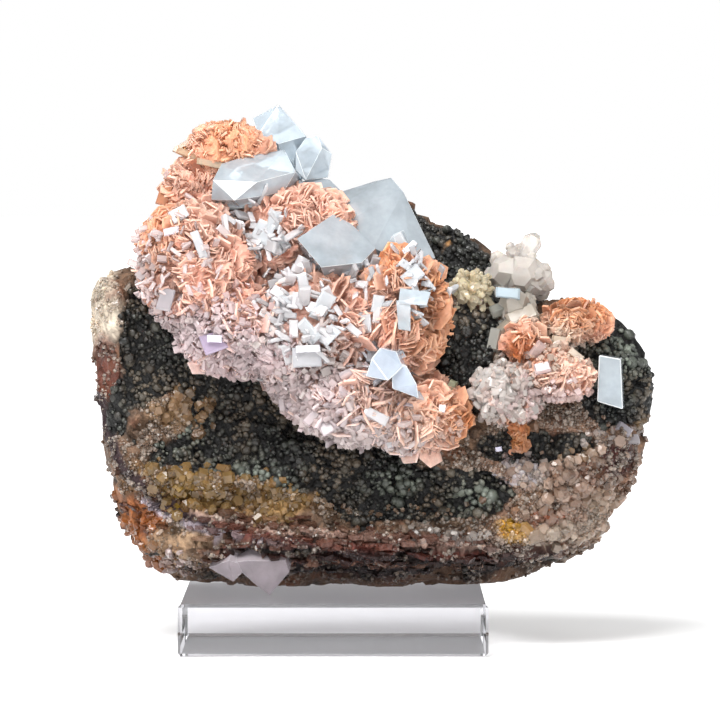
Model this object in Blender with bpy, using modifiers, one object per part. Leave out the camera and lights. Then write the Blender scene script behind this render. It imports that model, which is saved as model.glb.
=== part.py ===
"""Barite specimen on a clear display block.

A banded quartz rock with a black crust carries mounds of thin peach blades, clear blocky barite
crystals and small quartz clusters, and stands on a polished acrylic block.
Frame: origin at the centre of the block's underside, +X to the right, +Y to the back, +Z up.
Every size below is in millimetres, and MM turns it into metres.
"""
import math

import bmesh
import bpy
import numpy as np
from mathutils import Vector

MM = 0.001
GAP = 0.35                      # clearance between pieces that touch
ROCK_GAP = 0.7                  # the same between the rough rock and what grows on it
WELD = 0.000004                 # metres within which a cut's corners become one
FLAT_ANGLE = math.radians(1.0)  # faces that turn less than this are one flat face
SEED = 7

# Display block
BLOCK_SIDE = 76.2
BLOCK_HEIGHT = 12.7
BLOCK_CHAMFER = 0.7
REST = BLOCK_HEIGHT + GAP       # lowest point of anything that stands on the block

# Rock: an outline seen from the front, closed by a front and a back surface
ROCK_CENTRE = (8.0, 58.0)       # x, z that every ring of the rock closes in on
ROCK_COLUMNS = 44
ROCK_RINGS = (0.985, 0.95, 0.88, 0.77, 0.62, 0.45, 0.26)
ROCK_FRONT = -15.0              # y of the front surface before its relief
ROCK_BACK = 36.0                # y of the back surface before its relief
ROCK_BREAK = 1.5                # how far the broken facets push the surface
RIM_BAND = 0.9                  # rings past this fraction grow outwards as well
# x, y, z of the rim, clockwise from the upper left corner
ROCK_RIM = (
    (-58, 2, 94), (-61, 2, 88.5), (-61.5, 4, 83), (-60, 4, 66), (-59, 4, 53), (-56.5, 6, 40),
    (-54.5, 8, 31.5), (-51, 10, 26), (-47, 12, 17), (-39, 20, 14), (-29, 25, REST),
    (-1, 27, REST), (27, 27, REST), (38, 25, REST), (54, 15, 16.5), (64, 10, 22),
    (68.5, 8, 26), (73, 8, 36), (77, 6, 43), (80, 4, 58), (81.5, 5, 67), (77, 8, 76),
    (69, 12, 84), (54, 16, 86), (43, 18, 95.5), (34.5, 18, 102.5), (25, 18, 108.5),
    (14, 18, 113), (-1, 14, 114), (-18, 8, 108), (-34, 4, 101), (-47, 2, 95),
)
# Broad relief of the front: x, z, half width, half height, push along y
ROCK_RELIEF = (
    (-20, 60, 36, 20, 11),      # the dark hollow under the mound
    (-8, 25, 60, 7, -8),        # the lower ledge
    (-8, 36, 50, 4, 3),         # the groove above the ledge
    (58, 40, 17, 15, -6),       # the sugary right shoulder
    (-57, 72, 7, 26, -6),       # the left slab
    (34, 72, 10, 18, -3),       # the black wall between the mounds
)
CROWN_START = 84.0              # the front leans back above this height
CROWN_LEAN = 0.85
CREST_START = 88.0              # and the back leans forward above this one
CREST_LEAN = 0.45

# Black crust: x, z, half width, half height of each patch, number of lumps
CRUST_PATCHES = (
    (-24, 58, 34, 20, 18),
    (34, 72, 7, 14, 6),
    (70, 70, 9, 12, 8),
    (28, 101, 13, 7, 8),
    (42, 42, 14, 6, 4),
)
CRUST_RADIUS = (2.8, 4.8)

# Lobes of the bladed mounds: centre and half sizes
MAIN_LOBES = (
    ((-34, -12, 95), (13.5, 13, 16)),
    ((-22, -12, 80), (16, 14, 11)),
    ((-3, -15, 76), (16, 14, 18)),
    ((17, -16, 83), (10.5, 11, 15)),
    ((5, -18, 63), (13, 11, 11)),
    ((21, -16, 58), (11.5, 10, 7.5)),
    ((-12, -3, 103), (17, 11, 12)),
    ((-36, -3, 112), (7, 6, 9)),
    ((-27, 0, 124), (10, 7, 7.5)),
)
RIGHT_LOBES = (
    ((60, -8, 81), (8.5, 9, 5.5)),
    ((55, -16, 68), (10, 8, 6)),
    ((48, -13, 75), (5, 8, 6)),
    ((44, -17, 63), (7, 8, 6)),
    ((46, -16, 54), (3.2, 6, 6)),
)
BLADE_LENGTH = (8.0, 11.5)
BLADE_THICKNESS = 2.0
BLADE_SINK = 0.45               # part of a blade's length that stays inside its lobe

# Blocky barite: front corners and the way each crystal runs back from them
BARITE = (
    # rear top plate
    (((-20.5, 8, 132), (-14, 9, 135.5), (-7, 6, 127.5), (-14, 3, 125.5), (-19, 4, 128)), (2, 6, -8)),
    # upright prism
    (((-7, 0, 127), (-4, 1, 127.5), (-3, 0, 124.5), (-0.5, 4, 123), (-1.5, 3, 117),
      (-7, -3, 116.5), (-9.5, -3, 119), (-9.5, -3, 123.5)), (0, 9, -1)),
    # large left crystal
    (((-28, -9, 120.5), (-22, -5, 122.5), (-12.5, -2, 124), (-9.5, -7, 118.5), (-19, -15, 116),
      (-24.5, -18, 111.5), (-30, -14, 116.5), (-30.5, -12, 111.5), (-12.5, -8, 113.5),
      (-18, -13, 112.5)), (2, 12, -3)),
    # pale crystals in the middle
    (((-8.5, -2, 116), (-4, 2, 117), (-1, 2, 116.5), (2, 0, 113.5), (0, -6, 109.5),
      (-4, -9, 105.5), (-10, -8, 106), (-11, -6, 112)), (1, 10, -5)),
    # large grey right crystal
    (((0, -3, 109.5), (17.5, 0, 113.5), (25.5, -4, 97), (19.5, -8, 95.5), (10, -9, 99.5),
      (3, -6, 106), (2, 4, 113.5), (10, 5, 116), (14.5, 5, 117)), (2, 12, -9)),
    # clear blue rhomb
    (((-9, -19, 102), (0, -12, 108), (4.5, -12, 105.5), (10.5, -15, 99.5), (7, -19, 96),
      (-3, -23, 95)), (2, 11, -6)),
    # small glassy prism
    (((14, -14, 101.5), (15, -14, 103), (17.5, -13, 104), (20, -13, 97), (16.5, -15, 96.5)),
     (0, 9, -1)),
)
BLUE_TAB = (
    (((8, -34, 68.5), (9.5, -35, 73), (11.5, -34, 75.5), (15.5, -33, 74.5), (17, -34, 71),
      (13.5, -35, 67.5)), (1, 9, 0)),
    (((14.5, -33, 72.5), (18, -33, 71), (20.5, -33, 66.5), (21, -32, 63), (18.5, -32, 64),
      (14.5, -33, 65.5)), (0, 9, 0)),
)
UPPER_TABS = (
    (((16.5, -30, 90), (24, -29, 89), (23, -30, 85.8), (16, -31, 86.2)), (0, 5, 0)),
    (((15.5, -31, 87), (19, -30, 87), (19, -31, 79.5), (16, -31, 80)), (0, 8, 0)),
)
RIGHT_TAB = (
    (((66, -17, 73), (71.5, -16, 72), (72, -17, 59.5), (65.5, -18, 61.5)), (1, 11, 0)),
)
HANGING = (
    (((-25.5, -18, 21.5), (-21, -20, 22), (-12, -20, 22), (-11, -18, 19), (-16, -16, REST),
      (-19, -17, 15.5), (-22.5, -17, 18.5)), (1, 6, 4)),
    (((-31, -17, 20), (-26, -19, 22), (-21, -18, 20.5), (-25, -17, 16.5)), (1, 6, 4)),
)

# Quartz points: where each cluster grows from, its reach and its crystals' radius and count
QUARTZ_TOP = ((47, 2, 93), 9.5, 3.4, 9)
QUARTZ_MIDDLE = ((35, -9, 88), 8.5, 3.2, 8)
QUARTZ_STEP = ((45.5, -9, 81), 8.5, 3.1, 7)
QUARTZ_RIGHT = ((41, -20, 65), 8.5, 3.0, 8)
POINT_TIP = 0.32                # part of a quartz point's length that is its pyramid


def clear_scene():
    """Remove every object that the file starts with."""
    for item in list(bpy.data.objects):
        bpy.data.objects.remove(item, do_unlink=True)


def new_collection(name):
    group = bpy.data.collections.new(name)
    bpy.context.scene.collection.children.link(group)
    return group


def material(name, colour, roughness, metallic=0.0):
    """A plain surface with the colour, roughness and metallic value of its piece."""
    made = bpy.data.materials.new(name)
    made.use_nodes = True
    shader = made.node_tree.nodes["Principled BSDF"]
    shader.inputs["Base Color"].default_value = (*colour, 1.0)
    shader.inputs["Roughness"].default_value = roughness
    shader.inputs["Metallic"].default_value = metallic
    return made


def mesh_object(name, bm, group):
    """Put a bmesh, drawn in millimetres, into an object in metres."""
    bmesh.ops.scale(bm, vec=(MM, MM, MM), verts=bm.verts)
    bmesh.ops.triangulate(bm, faces=bm.faces)
    bmesh.ops.recalc_face_normals(bm, faces=bm.faces)
    mesh = bpy.data.meshes.new(name)
    bm.to_mesh(mesh)
    bm.free()
    made = bpy.data.objects.new(name, mesh)
    group.objects.link(made)
    return made


def guide(made):
    """Mark an object as a cutter or a guide."""
    made.hide_render = True
    made.display_type = "WIRE"
    return made


def keep_largest(bm):
    """Delete every loose island but the one with the most faces."""
    bm.faces.ensure_lookup_table()
    seen = set()
    islands = []
    for face in bm.faces:
        if face in seen:
            continue
        island = [face]
        seen.add(face)
        for member in island:
            for edge in member.edges:
                for other in edge.link_faces:
                    if other not in seen:
                        seen.add(other)
                        island.append(other)
        islands.append(island)
    islands.sort(key=len)
    for island in islands[:-1]:
        bmesh.ops.delete(bm, geom=island, context="FACES")


def combine(target, tool, operation, self_cut=False):
    """Join the tool to the target, or cut it away, and keep the target's main body."""
    cut = target.modifiers.new(operation.lower(), "BOOLEAN")
    cut.operation = operation
    cut.solver = "EXACT"
    cut.use_self = self_cut
    cut.object = tool
    view = bpy.context.evaluated_depsgraph_get()
    mesh = bpy.data.meshes.new_from_object(target.evaluated_get(view))
    target.modifiers.remove(cut)
    bm = bmesh.new()
    bm.from_mesh(mesh)
    bmesh.ops.remove_doubles(bm, verts=bm.verts, dist=WELD)
    keep_largest(bm)
    bmesh.ops.triangulate(bm, faces=bm.faces)
    bm.to_mesh(mesh)
    bm.free()
    target.data = mesh


def hull_into(bm, points):
    """Add the convex solid around some points."""
    verts = [bm.verts.new(point) for point in points]
    made = bmesh.ops.convex_hull(bm, input=verts)
    spare = [item for item in made["geom_interior"] + made["geom_unused"]
             if isinstance(item, bmesh.types.BMVert)]
    bmesh.ops.delete(bm, geom=list(set(spare)), context="VERTS")


def grown(points, grow):
    """Move points away from their middle by about the given length."""
    middle = sum((Vector(point) for point in points), Vector()) / len(points)
    moved = []
    for point in points:
        away = Vector(point) - middle
        moved.append(middle + away + away.normalized() * grow * 1.6)
    return moved


def crystal_points(crystal, grow):
    front, back = crystal
    corners = [Vector(point) for point in front]
    corners += [Vector(point) + Vector(back) for point in front]
    return grown(corners, grow) if grow else corners


def crystal_group(name, crystals, group, cutters, grow=0.0):
    """One solid made of crystals that overlap, each the hull of its front and back corners."""
    made = None
    for number, crystal in enumerate(crystals):
        bm = bmesh.new()
        hull_into(bm, crystal_points(crystal, grow))
        if made is None:
            made = mesh_object(name, bm, group)
        else:
            tool = guide(mesh_object(f"{name}_{number}", bm, cutters))
            combine(made, tool, "UNION")
    return made


def outline_at(angles):
    """Radius and depth of the rock's rim in each direction from the rock's centre."""
    rim = np.array(ROCK_RIM, dtype=float)
    across = rim[:, 0] - ROCK_CENTRE[0]
    up = rim[:, 2] - ROCK_CENTRE[1]
    turn = np.arctan2(up, across)
    order = np.argsort(turn)
    radius = np.interp(angles, turn[order], np.hypot(across, up)[order], period=2 * math.pi)
    depth = np.interp(angles, turn[order], rim[order, 1], period=2 * math.pi)
    return radius, depth


def fold(value):
    """A wave of straight slopes between -1 and 1, which gives flat facets and sharp ridges."""
    return np.abs((value % 1.0) - 0.5) * 4.0 - 1.0


def broken_facets(x, z):
    """Three sets of folds that cross each other, like a broken rock face."""
    folds = fold(x / 23.0 + z / 31.0) + fold(x / 17.0 - z / 13.0 + 0.3) + fold(z / 19.0 + 0.6)
    return ROCK_BREAK * folds / 1.5


def front_relief(x, z):
    """The front surface: its facets, broad swells and hollows, and the crown's lean."""
    y = ROCK_FRONT + broken_facets(x, z)
    for at_x, at_z, wide, high, push in ROCK_RELIEF:
        y += push * np.exp(-((x - at_x) / wide) ** 2 - ((z - at_z) / high) ** 2)
    return y + CROWN_LEAN * np.maximum(z - CROWN_START, 0.0)


def back_relief(x, z):
    """The back surface: a broken hump that leans forward above its crest."""
    y = ROCK_BACK + 1.6 * broken_facets(0.5 * x, 0.5 * z) - 4.0 * np.exp(-((z - 50) / 6.0) ** 2)
    return y - CREST_LEAN * np.maximum(z - CREST_START, 0.0)


def rock_ring(fraction, side, grow):
    """One ring of points of the front (side -1) or back (side 1) surface."""
    angles = np.linspace(-math.pi, math.pi, ROCK_COLUMNS, endpoint=False)
    radius, rim_depth = outline_at(angles)
    reach = radius * fraction + grow * (fraction > RIM_BAND)
    x = ROCK_CENTRE[0] + reach * np.cos(angles)
    z = ROCK_CENTRE[1] + reach * np.sin(angles)
    z = np.maximum(z, REST - grow)
    surface = front_relief(x, z) if side < 0 else back_relief(x, z)
    swell = (1.0 - fraction ** 6) ** 0.4
    y = rim_depth + (surface - rim_depth) * swell + side * grow
    return np.column_stack([x, y, z])


def rock_form(name, group, grow=0.0):
    """The rock: rings from the front's middle over the rim to the back's middle."""
    rings = [rock_ring(fraction, -1, grow) for fraction in reversed(ROCK_RINGS)]
    rim = rock_ring(1.0, -1, grow)
    rim[:, 1] += grow
    rings.append(rim)
    rings += [rock_ring(fraction, 1, grow) for fraction in ROCK_RINGS]
    bm = bmesh.new()
    rows = [[bm.verts.new(point) for point in ring] for ring in rings]
    for low, high in zip(rows, rows[1:]):
        for index in range(ROCK_COLUMNS):
            after = (index + 1) % ROCK_COLUMNS
            bm.faces.new((low[index], low[after], high[after], high[index]))
    bm.faces.new(rows[0])
    bm.faces.new(rows[-1])
    return mesh_object(name, bm, group)


def crust_lumps(grow):
    """Centres and radii of the black crust's lumps, sunk halfway into the rock's front."""
    draw = np.random.default_rng(SEED)
    lumps = []
    for at_x, at_z, wide, high, count in CRUST_PATCHES:
        turn = draw.uniform(0, 2 * math.pi, count)
        reach = np.sqrt(draw.uniform(0, 1, count))
        x = at_x + wide * reach * np.cos(turn)
        z = at_z + high * reach * np.sin(turn)
        radius = draw.uniform(*CRUST_RADIUS, count)
        angles = np.arctan2(z - ROCK_CENTRE[1], x - ROCK_CENTRE[0])
        rim_radius, rim_depth = outline_at(angles)
        fraction = np.hypot(x - ROCK_CENTRE[0], z - ROCK_CENTRE[1]) / rim_radius
        inside = fraction < 0.97
        swell = (1.0 - np.minimum(fraction, 1.0) ** 6) ** 0.4
        y = rim_depth + (front_relief(x, z) - rim_depth) * swell
        lumps += [((a, b, c), r + grow) for a, b, c, r, ok in zip(x, y, z, radius, inside) if ok]
    return lumps


def lumpy_rock(name, group, cutters, grow=0.0):
    """The rock with its crust of joined round lumps."""
    rock = rock_form(name, group, grow)
    bm = bmesh.new()
    for centre, radius in crust_lumps(grow):
        made = bmesh.ops.create_icosphere(bm, subdivisions=1, radius=radius)
        bmesh.ops.translate(bm, vec=centre, verts=made["verts"])
    tool = guide(mesh_object(f"{name}_lumps", bm, cutters))
    combine(rock, tool, "UNION", self_cut=True)
    return rock


def lobe_into(bm, centre, half):
    """Add one coarse rounded lobe."""
    made = bmesh.ops.create_icosphere(bm, subdivisions=2, radius=1.0)
    bmesh.ops.scale(bm, vec=half, verts=made["verts"])
    bmesh.ops.translate(bm, vec=centre, verts=made["verts"])


def inside_lobes(point, lobes):
    for centre, half in lobes:
        away = [(point[axis] - centre[axis]) / half[axis] for axis in range(3)]
        if sum(value * value for value in away) < 0.92:
            return True
    return False


def blade_into(bm, root, outward, spin, length, width, thickness):
    """Add one pointed tablet that stands on its root, half its width to each side."""
    side = outward.orthogonal().normalized()
    side = side * math.cos(spin) + outward.cross(side) * math.sin(spin)
    face = outward.cross(side).normalized()
    flat = ((-0.5, 0.0), (0.5, 0.0), (0.5, 0.62), (0.0, 1.0), (-0.5, 0.62))
    points = []
    for across, along in flat:
        middle = root + side * across * width + outward * (along - BLADE_SINK) * length
        points += [middle - face * thickness / 2, middle + face * thickness / 2]
    hull_into(bm, points)


def blade_roots(lobes, count, draw):
    """Evenly spread points on the lobes that no other lobe covers, with their outward ways."""
    golden = math.pi * (3.0 - math.sqrt(5.0))
    total = sum(half[0] * half[2] for _, half in lobes)
    roots = []
    for index, (centre, half) in enumerate(lobes):
        others = lobes[:index] + lobes[index + 1:]
        share = max(6, round(count * half[0] * half[2] / total))
        for step in range(share):
            height = 1.0 - 2.0 * (step + 0.5) / share
            ring = math.sqrt(1.0 - height * height)
            turn = golden * step + index
            unit = Vector((ring * math.cos(turn), ring * math.sin(turn), height))
            point = Vector([centre[axis] + unit[axis] * half[axis] for axis in range(3)])
            if unit.y > 0.35 or inside_lobes(point, others):
                continue
            lean = Vector(draw.uniform(-0.5, 0.5, 3))
            roots.append((point, (unit + lean).normalized()))
    return roots


def bladed_mound(name, lobes, count, group, cutters, seed):
    """Lobes and the blades that stand on them, joined in one solid."""
    draw = np.random.default_rng(seed)
    bm = bmesh.new()
    lobe_into(bm, *lobes[0])
    mound = mesh_object(name, bm, group)
    bm = bmesh.new()
    for lobe in lobes[1:]:
        lobe_into(bm, *lobe)
    for root, outward in blade_roots(lobes, count, draw):
        length = draw.uniform(*BLADE_LENGTH)
        blade_into(bm, root, outward, draw.uniform(0, math.pi), length, length * 0.7,
                   BLADE_THICKNESS)
    tool = guide(mesh_object(f"{name}_blades", bm, cutters))
    combine(mound, tool, "UNION", self_cut=True)
    return mound


def quartz_cluster(name, cluster, group, cutters, seed, grow=0.0):
    """Six-sided points that fan out from one spot, towards the front and upwards."""
    centre, reach, radius, count = cluster
    draw = np.random.default_rng(seed)
    bm = bmesh.new()
    bmesh.ops.create_icosphere(bm, subdivisions=1, radius=reach * 0.55 + grow)
    bmesh.ops.translate(bm, vec=centre, verts=bm.verts)
    made = mesh_object(name, bm, group)
    bm = bmesh.new()
    for _ in range(count):
        way = Vector((draw.uniform(-1, 1), draw.uniform(-1, 0.3), draw.uniform(-0.6, 1)))
        way.normalize()
        length = reach * draw.uniform(0.75, 1.0)
        size = radius * draw.uniform(0.7, 1.1) + grow
        side = way.orthogonal().normalized()
        cross = way.cross(side)
        points = []
        for corner in range(6):
            turn = corner * math.pi / 3
            out = (side * math.cos(turn) + cross * math.sin(turn)) * size
            points.append(Vector(centre) + out)
            points.append(Vector(centre) + out + way * (length * (1 - POINT_TIP)))
        points.append(Vector(centre) + way * (length + grow))
        hull_into(bm, points)
    tool = guide(mesh_object(f"{name}_points", bm, cutters))
    combine(made, tool, "UNION", self_cut=True)
    return made


def display_block(group):
    """The clear block, its edges cut by a narrow chamfer."""
    bpy.ops.mesh.primitive_cube_add(size=1.0)
    block = bpy.context.object
    block.name = "display_block"
    half = BLOCK_HEIGHT * MM / 2
    for vertex in block.data.vertices:
        vertex.co.x *= BLOCK_SIDE * MM
        vertex.co.y *= BLOCK_SIDE * MM
        vertex.co.z *= BLOCK_HEIGHT * MM
    block.location.z = half
    edge = block.modifiers.new("chamfer", "BEVEL")
    edge.width = BLOCK_CHAMFER * MM
    edge.segments = 1
    for owner in list(block.users_collection):
        owner.objects.unlink(block)
    group.objects.link(block)
    return block


def merge_flats(made):
    """Turn slivers that lie in one plane back into larger faces."""
    bm = bmesh.new()
    bm.from_mesh(made.data)
    bmesh.ops.dissolve_limit(bm, angle_limit=FLAT_ANGLE, verts=bm.verts, edges=bm.edges)
    bmesh.ops.triangulate(bm, faces=bm.faces)
    bm.to_mesh(made.data)
    bm.free()


def finish(made, surface):
    made.data.materials.clear()
    made.data.materials.append(surface)


def main():
    clear_scene()
    group = new_collection("barite_specimen")
    cutters = new_collection("cutters")

    block = display_block(group)
    rock = lumpy_rock("matrix_rock", group, cutters)
    rock_space = guide(lumpy_rock("rock_space", cutters, cutters, ROCK_GAP))

    mound = bladed_mound("peach_mound", MAIN_LOBES, 90, group, cutters, SEED + 1)
    right_mound = bladed_mound("right_mound", RIGHT_LOBES, 26, group, cutters, SEED + 2)

    clusters = {}
    names = ("quartz_cluster", "quartz_rosette", "quartz_step", "quartz_right")
    kinds = (QUARTZ_TOP, QUARTZ_MIDDLE, QUARTZ_STEP, QUARTZ_RIGHT)
    for number, (name, kind) in enumerate(zip(names, kinds)):
        made = quartz_cluster(name, kind, group, cutters, SEED + 20 + number)
        room = guide(quartz_cluster(f"{name}_space", kind, cutters, cutters,
                                    SEED + 20 + number, GAP))
        clusters[name] = (made, room)

    crystals = {}
    for name, kind in (("barite_crystals", BARITE), ("blue_tab", BLUE_TAB),
                       ("upper_tabs", UPPER_TABS), ("right_tab", RIGHT_TAB),
                       ("hanging_crystals", HANGING)):
        made = crystal_group(name, kind, group, cutters)
        room = guide(crystal_group(f"{name}_space", kind, cutters, cutters, GAP))
        crystals[name] = (made, room)

    # Each piece gives way to the harder ones: crystals first, then quartz, rock and mounds
    pieces = [(name, *pair) for name, pair in {**crystals, **clusters}.items()]
    for index, (_, _, room) in enumerate(pieces):
        for _, later, _ in pieces[index + 1:]:
            combine(later, room, "DIFFERENCE")
        for soft in (rock, mound, right_mound):
            combine(soft, room, "DIFFERENCE")
    for soft in (mound, right_mound):
        combine(soft, rock_space, "DIFFERENCE")

    for made in (rock, mound, right_mound):
        merge_flats(made)

    clear = material("clear_barite", (0.80, 0.84, 0.87), 0.08)
    quartz = material("cream_quartz", (0.74, 0.66, 0.54), 0.25)
    peach = material("peach_blades", (0.78, 0.42, 0.27), 0.45)
    finish(block, material("clear_acrylic", (0.93, 0.94, 0.95), 0.03))
    finish(rock, material("banded_rock", (0.16, 0.12, 0.09), 0.7))
    for made, _ in crystals.values():
        finish(made, clear)
    for made, _ in clusters.values():
        finish(made, quartz)
    for made in (mound, right_mound):
        finish(made, peach)


main()
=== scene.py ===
"""Looks of a barite specimen on a clear display block.

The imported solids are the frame. Around them this script makes the fine surfaces: the banded rock
and its black crust, the mounds of thin peach blades, the clear crystals and the quartz points.
Sizes are in millimetres in the frame's axes, and build_mesh turns them into metres. Only the
stage's own sizes and the grain's are in metres.
"""

import logging
import math
from dataclasses import dataclass, field
from enum import Enum, IntEnum

import bmesh
import bpy
import numpy as np
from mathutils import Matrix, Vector


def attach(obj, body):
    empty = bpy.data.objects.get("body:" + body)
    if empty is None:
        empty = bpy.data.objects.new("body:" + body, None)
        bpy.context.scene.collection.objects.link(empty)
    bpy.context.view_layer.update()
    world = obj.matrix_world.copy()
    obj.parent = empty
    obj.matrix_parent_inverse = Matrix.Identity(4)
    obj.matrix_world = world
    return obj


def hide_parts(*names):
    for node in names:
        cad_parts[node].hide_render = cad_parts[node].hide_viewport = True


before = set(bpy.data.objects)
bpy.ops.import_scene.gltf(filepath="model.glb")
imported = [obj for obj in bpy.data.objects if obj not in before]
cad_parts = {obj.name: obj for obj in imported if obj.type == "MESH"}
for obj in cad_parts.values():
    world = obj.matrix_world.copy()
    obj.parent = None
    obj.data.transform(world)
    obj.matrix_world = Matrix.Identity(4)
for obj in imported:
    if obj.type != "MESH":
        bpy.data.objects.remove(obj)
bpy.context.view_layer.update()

LOG = logging.getLogger("barite")
MM = 0.001
Array = np.ndarray
Colour = tuple[float, float, float]
Span = tuple[float, float]
Place = tuple[float, float, float]
Field = tuple[float, float, float, float]
Fields = tuple[Field, ...]
Lobe = tuple[Place, Place]
Lobes = tuple[Lobe, ...]

# The lowest that anything goes, just over the block's top
REST = 12.75

# The rock's outline, as the solid has it: x, y, z of the rim, from the upper left down its left
# side, along its foot, up its right side and back over its top
ROCK_CENTRE = (8.0, 58.0)
ROCK_FRONT = -15.0
ROCK_BACK = 36.0
ROCK_RIM = (
    (-58, 2, 94), (-61, 2, 88.5), (-61.5, 4, 83), (-60, 4, 66), (-59, 4, 53), (-56.5, 6, 40),
    (-54.5, 8, 31.5), (-51, 10, 26), (-47, 12, 17), (-39, 20, 14), (-29, 25, 13),
    (-1, 27, 13), (27, 27, 13), (38, 25, 13), (54, 15, 16.5), (64, 10, 22),
    (68.5, 8, 26), (73, 8, 36), (77, 6, 43), (80, 4, 58), (81.5, 5, 67), (77, 8, 76),
    (69, 12, 84), (54, 16, 86), (43, 18, 95.5), (34.5, 18, 102.5), (25, 18, 108.5),
    (14, 18, 113), (-1, 14, 114), (-18, 8, 108), (-34, 4, 101), (-47, 2, 95),
)
# Relief of the front: x, z, half width, half height, push along y
# The first six are the solid's own swells, the rest are ledges and grooves that it leaves out
ROCK_RELIEF = (
    (-20, 60, 36, 20, 11), (-8, 25, 60, 7, -8), (-8, 36, 50, 4, 3),
    (58, 40, 17, 15, -6), (-57, 72, 7, 26, -6), (34, 72, 10, 18, -3),
    (-27, 42, 27, 3.6, -4.5), (-30, 29, 17, 2.0, 5.0), (-30, 22, 16, 3.0, -2.5),
    (-50, 28, 7, 9, -3.0), (57, 42, 16, 10, -3.0), (18, 30, 30, 1.6, 3.0), (69, 66, 6, 9, 4.0),
    (22, 21, 34, 1.5, 2.5), (-45, 50, 10, 6, -3.0), (45, 28, 10, 3, -2.0),
)
# Towards the rim the surface runs back as (1 - share of the radius ^ power) ^ round
SWELL_POWER = 6
SWELL_ROUND = 0.4
# The groove across the back: height, half height and depth
BACK_GROOVE = (50.0, 6.0, 4.0)
# Above its start each side leans by this much per millimetre
CROWN_START = 84.0
CROWN_LEAN = 0.85
CREST_START = 88.0
CREST_LEAN = 0.45

# Lobes of the bladed mounds: centre and half sizes
MAIN_LOBES = (
    ((-34, -12, 95), (13.5, 13, 16)), ((-22, -12, 80), (16, 14, 11)),
    ((-3, -15, 76), (16, 14, 18)), ((17, -16, 83), (10.5, 11, 15)),
    ((5, -18, 63), (13, 11, 11)), ((21, -16, 58), (11.5, 10, 7.5)),
    ((-12, -3, 103), (17, 11, 12)), ((-36, -3, 112), (7, 6, 9)),
    ((-27, 0, 124), (10, 7, 7.5)),
)
RIGHT_LOBES = (
    ((60, -8, 81), (8.5, 9, 5.5)), ((55, -16, 68), (10, 8, 6)), ((48, -13, 75), (5, 8, 6)),
    ((44, -17, 63), (7, 8, 6)), ((46, -16, 54.5), (2.0, 5, 5)),
)


def srgb(red: float, green: float, blue: float) -> Colour:
    """Turn a colour of 0 to 255 as a screen shows it into linear light."""
    values = []
    for value in (red, green, blue):
        share = value / 255.0
        values.append(share / 12.92 if share <= 0.04045 else ((share + 0.055) / 1.055) ** 2.4)
    return values[0], values[1], values[2]


class Noise(IntEnum):
    """Which set of random values an uneven surface or colour takes."""

    LARGE_FACETS = 3
    SMALL_FACETS = 5
    GRAINS = 9
    BED_BENDS = 19
    CRUST_LUMPS = 23
    UNDERSIDE = 27
    CRUST_EDGE = 31
    CRUST_LIMIT = 33
    COLOUR_WARP = 41
    CLOUDS = 61
    RUST = 71
    BEAD_ROWS = 81
    BEAD_BROWN = 83
    BEAD_DENTS = 85
    DRUSE_GAPS = 91
    MOUND_LUMPS = 101
    BENT_TABS = 121


def rows_of(kind: type, rows: tuple[tuple, ...]) -> tuple:
    """Make one object of the kind from each row, with each screen colour as linear light."""
    return tuple(kind(*(srgb(*part) if is_colour(part) else part for part in row)) for row in rows)


def is_colour(part: object) -> bool:
    """Whether a row's value is a colour as a screen shows it: three whole numbers."""
    return isinstance(part, tuple) and len(part) == 3 and all(isinstance(v, int) for v in part)


# Numbers on arrays of points

def hashed(cells: Array, seed: int) -> Array:
    """Give each whole-number cell a fixed value from 0 to 1.

    Args:
        cells: Whole numbers of shape (n, 3).
        seed: Which set of values.

    Returns:
        n values.
    """
    mixed = (cells[:, 0] * 73856093) ^ (cells[:, 1] * 19349663) ^ (cells[:, 2] * 83492791)
    mixed = (mixed ^ (seed * 668265263)) & 0xFFFFFFFF
    mixed = ((mixed ^ (mixed >> 15)) * 739982445) & 0xFFFFFFFF
    mixed = ((mixed ^ (mixed >> 12)) * 695872825) & 0xFFFFFFFF
    return ((mixed ^ (mixed >> 15)) & 0xFFFFFF) / float(0xFFFFFF)


def soft_noise(points: Array, scale: float, seed: int) -> Array:
    """Blend the values of the eight cell corners around each point, from -1 to 1."""
    place = points / scale
    base = np.floor(place).astype(np.int64)
    share = place - base
    share = share * share * (3.0 - 2.0 * share)
    total = np.zeros(len(points))
    for corner in range(8):
        step = np.array([corner & 1, (corner >> 1) & 1, (corner >> 2) & 1])
        weight = np.prod(np.where(step == 1, share, 1.0 - share), axis=1)
        total += weight * hashed(base + step, seed)
    return total * 2.0 - 1.0


def rough_noise(points: Array, scale: float, seed: int, octaves: int = 4) -> Array:
    """Add soft noise at halved scales and halved strengths."""
    total = np.zeros(len(points))
    for octave in range(octaves):
        total += soft_noise(points, scale / 2 ** octave, seed + octave) / 2 ** octave
    return total / 1.6


@dataclass
class Cells:
    """What a cell pattern says at each point: distance in cells, the cell's value and offset."""

    nearest: Array
    value: Array
    offset: Array
    tilt: Array


def cell_pattern(points: Array, scale: float, seed: int) -> Cells:
    """Find the nearest of one random site per cell, as in a broken or grained surface.

    Args:
        points: Places of shape (n, 3).
        scale: Size of a cell.
        seed: Which set of sites.

    Returns:
        The distance to the nearest site, and that site's value, offset and tilt.
    """
    place = points / scale
    base = np.floor(place).astype(np.int64)
    count = len(points)
    nearest = np.full(count, 9.0)
    offset = np.zeros((count, 3))
    home = np.zeros((count, 3), dtype=np.int64)
    for step in np.ndindex(3, 3, 3):
        cell = base + np.array(step) - 1
        site = cell + np.stack([hashed(cell, seed + axis) for axis in range(3)], axis=1)
        away = place - site
        reach = np.linalg.norm(away, axis=1)
        closer = reach < nearest
        nearest = np.minimum(nearest, reach)
        offset[closer] = away[closer]
        home[closer] = cell[closer]
    value = hashed(home, seed + 7)
    tilt = np.stack([hashed(home, seed + 11 + axis) for axis in range(3)], axis=1) * 2.0 - 1.0
    return Cells(nearest, value, offset, tilt)


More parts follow.
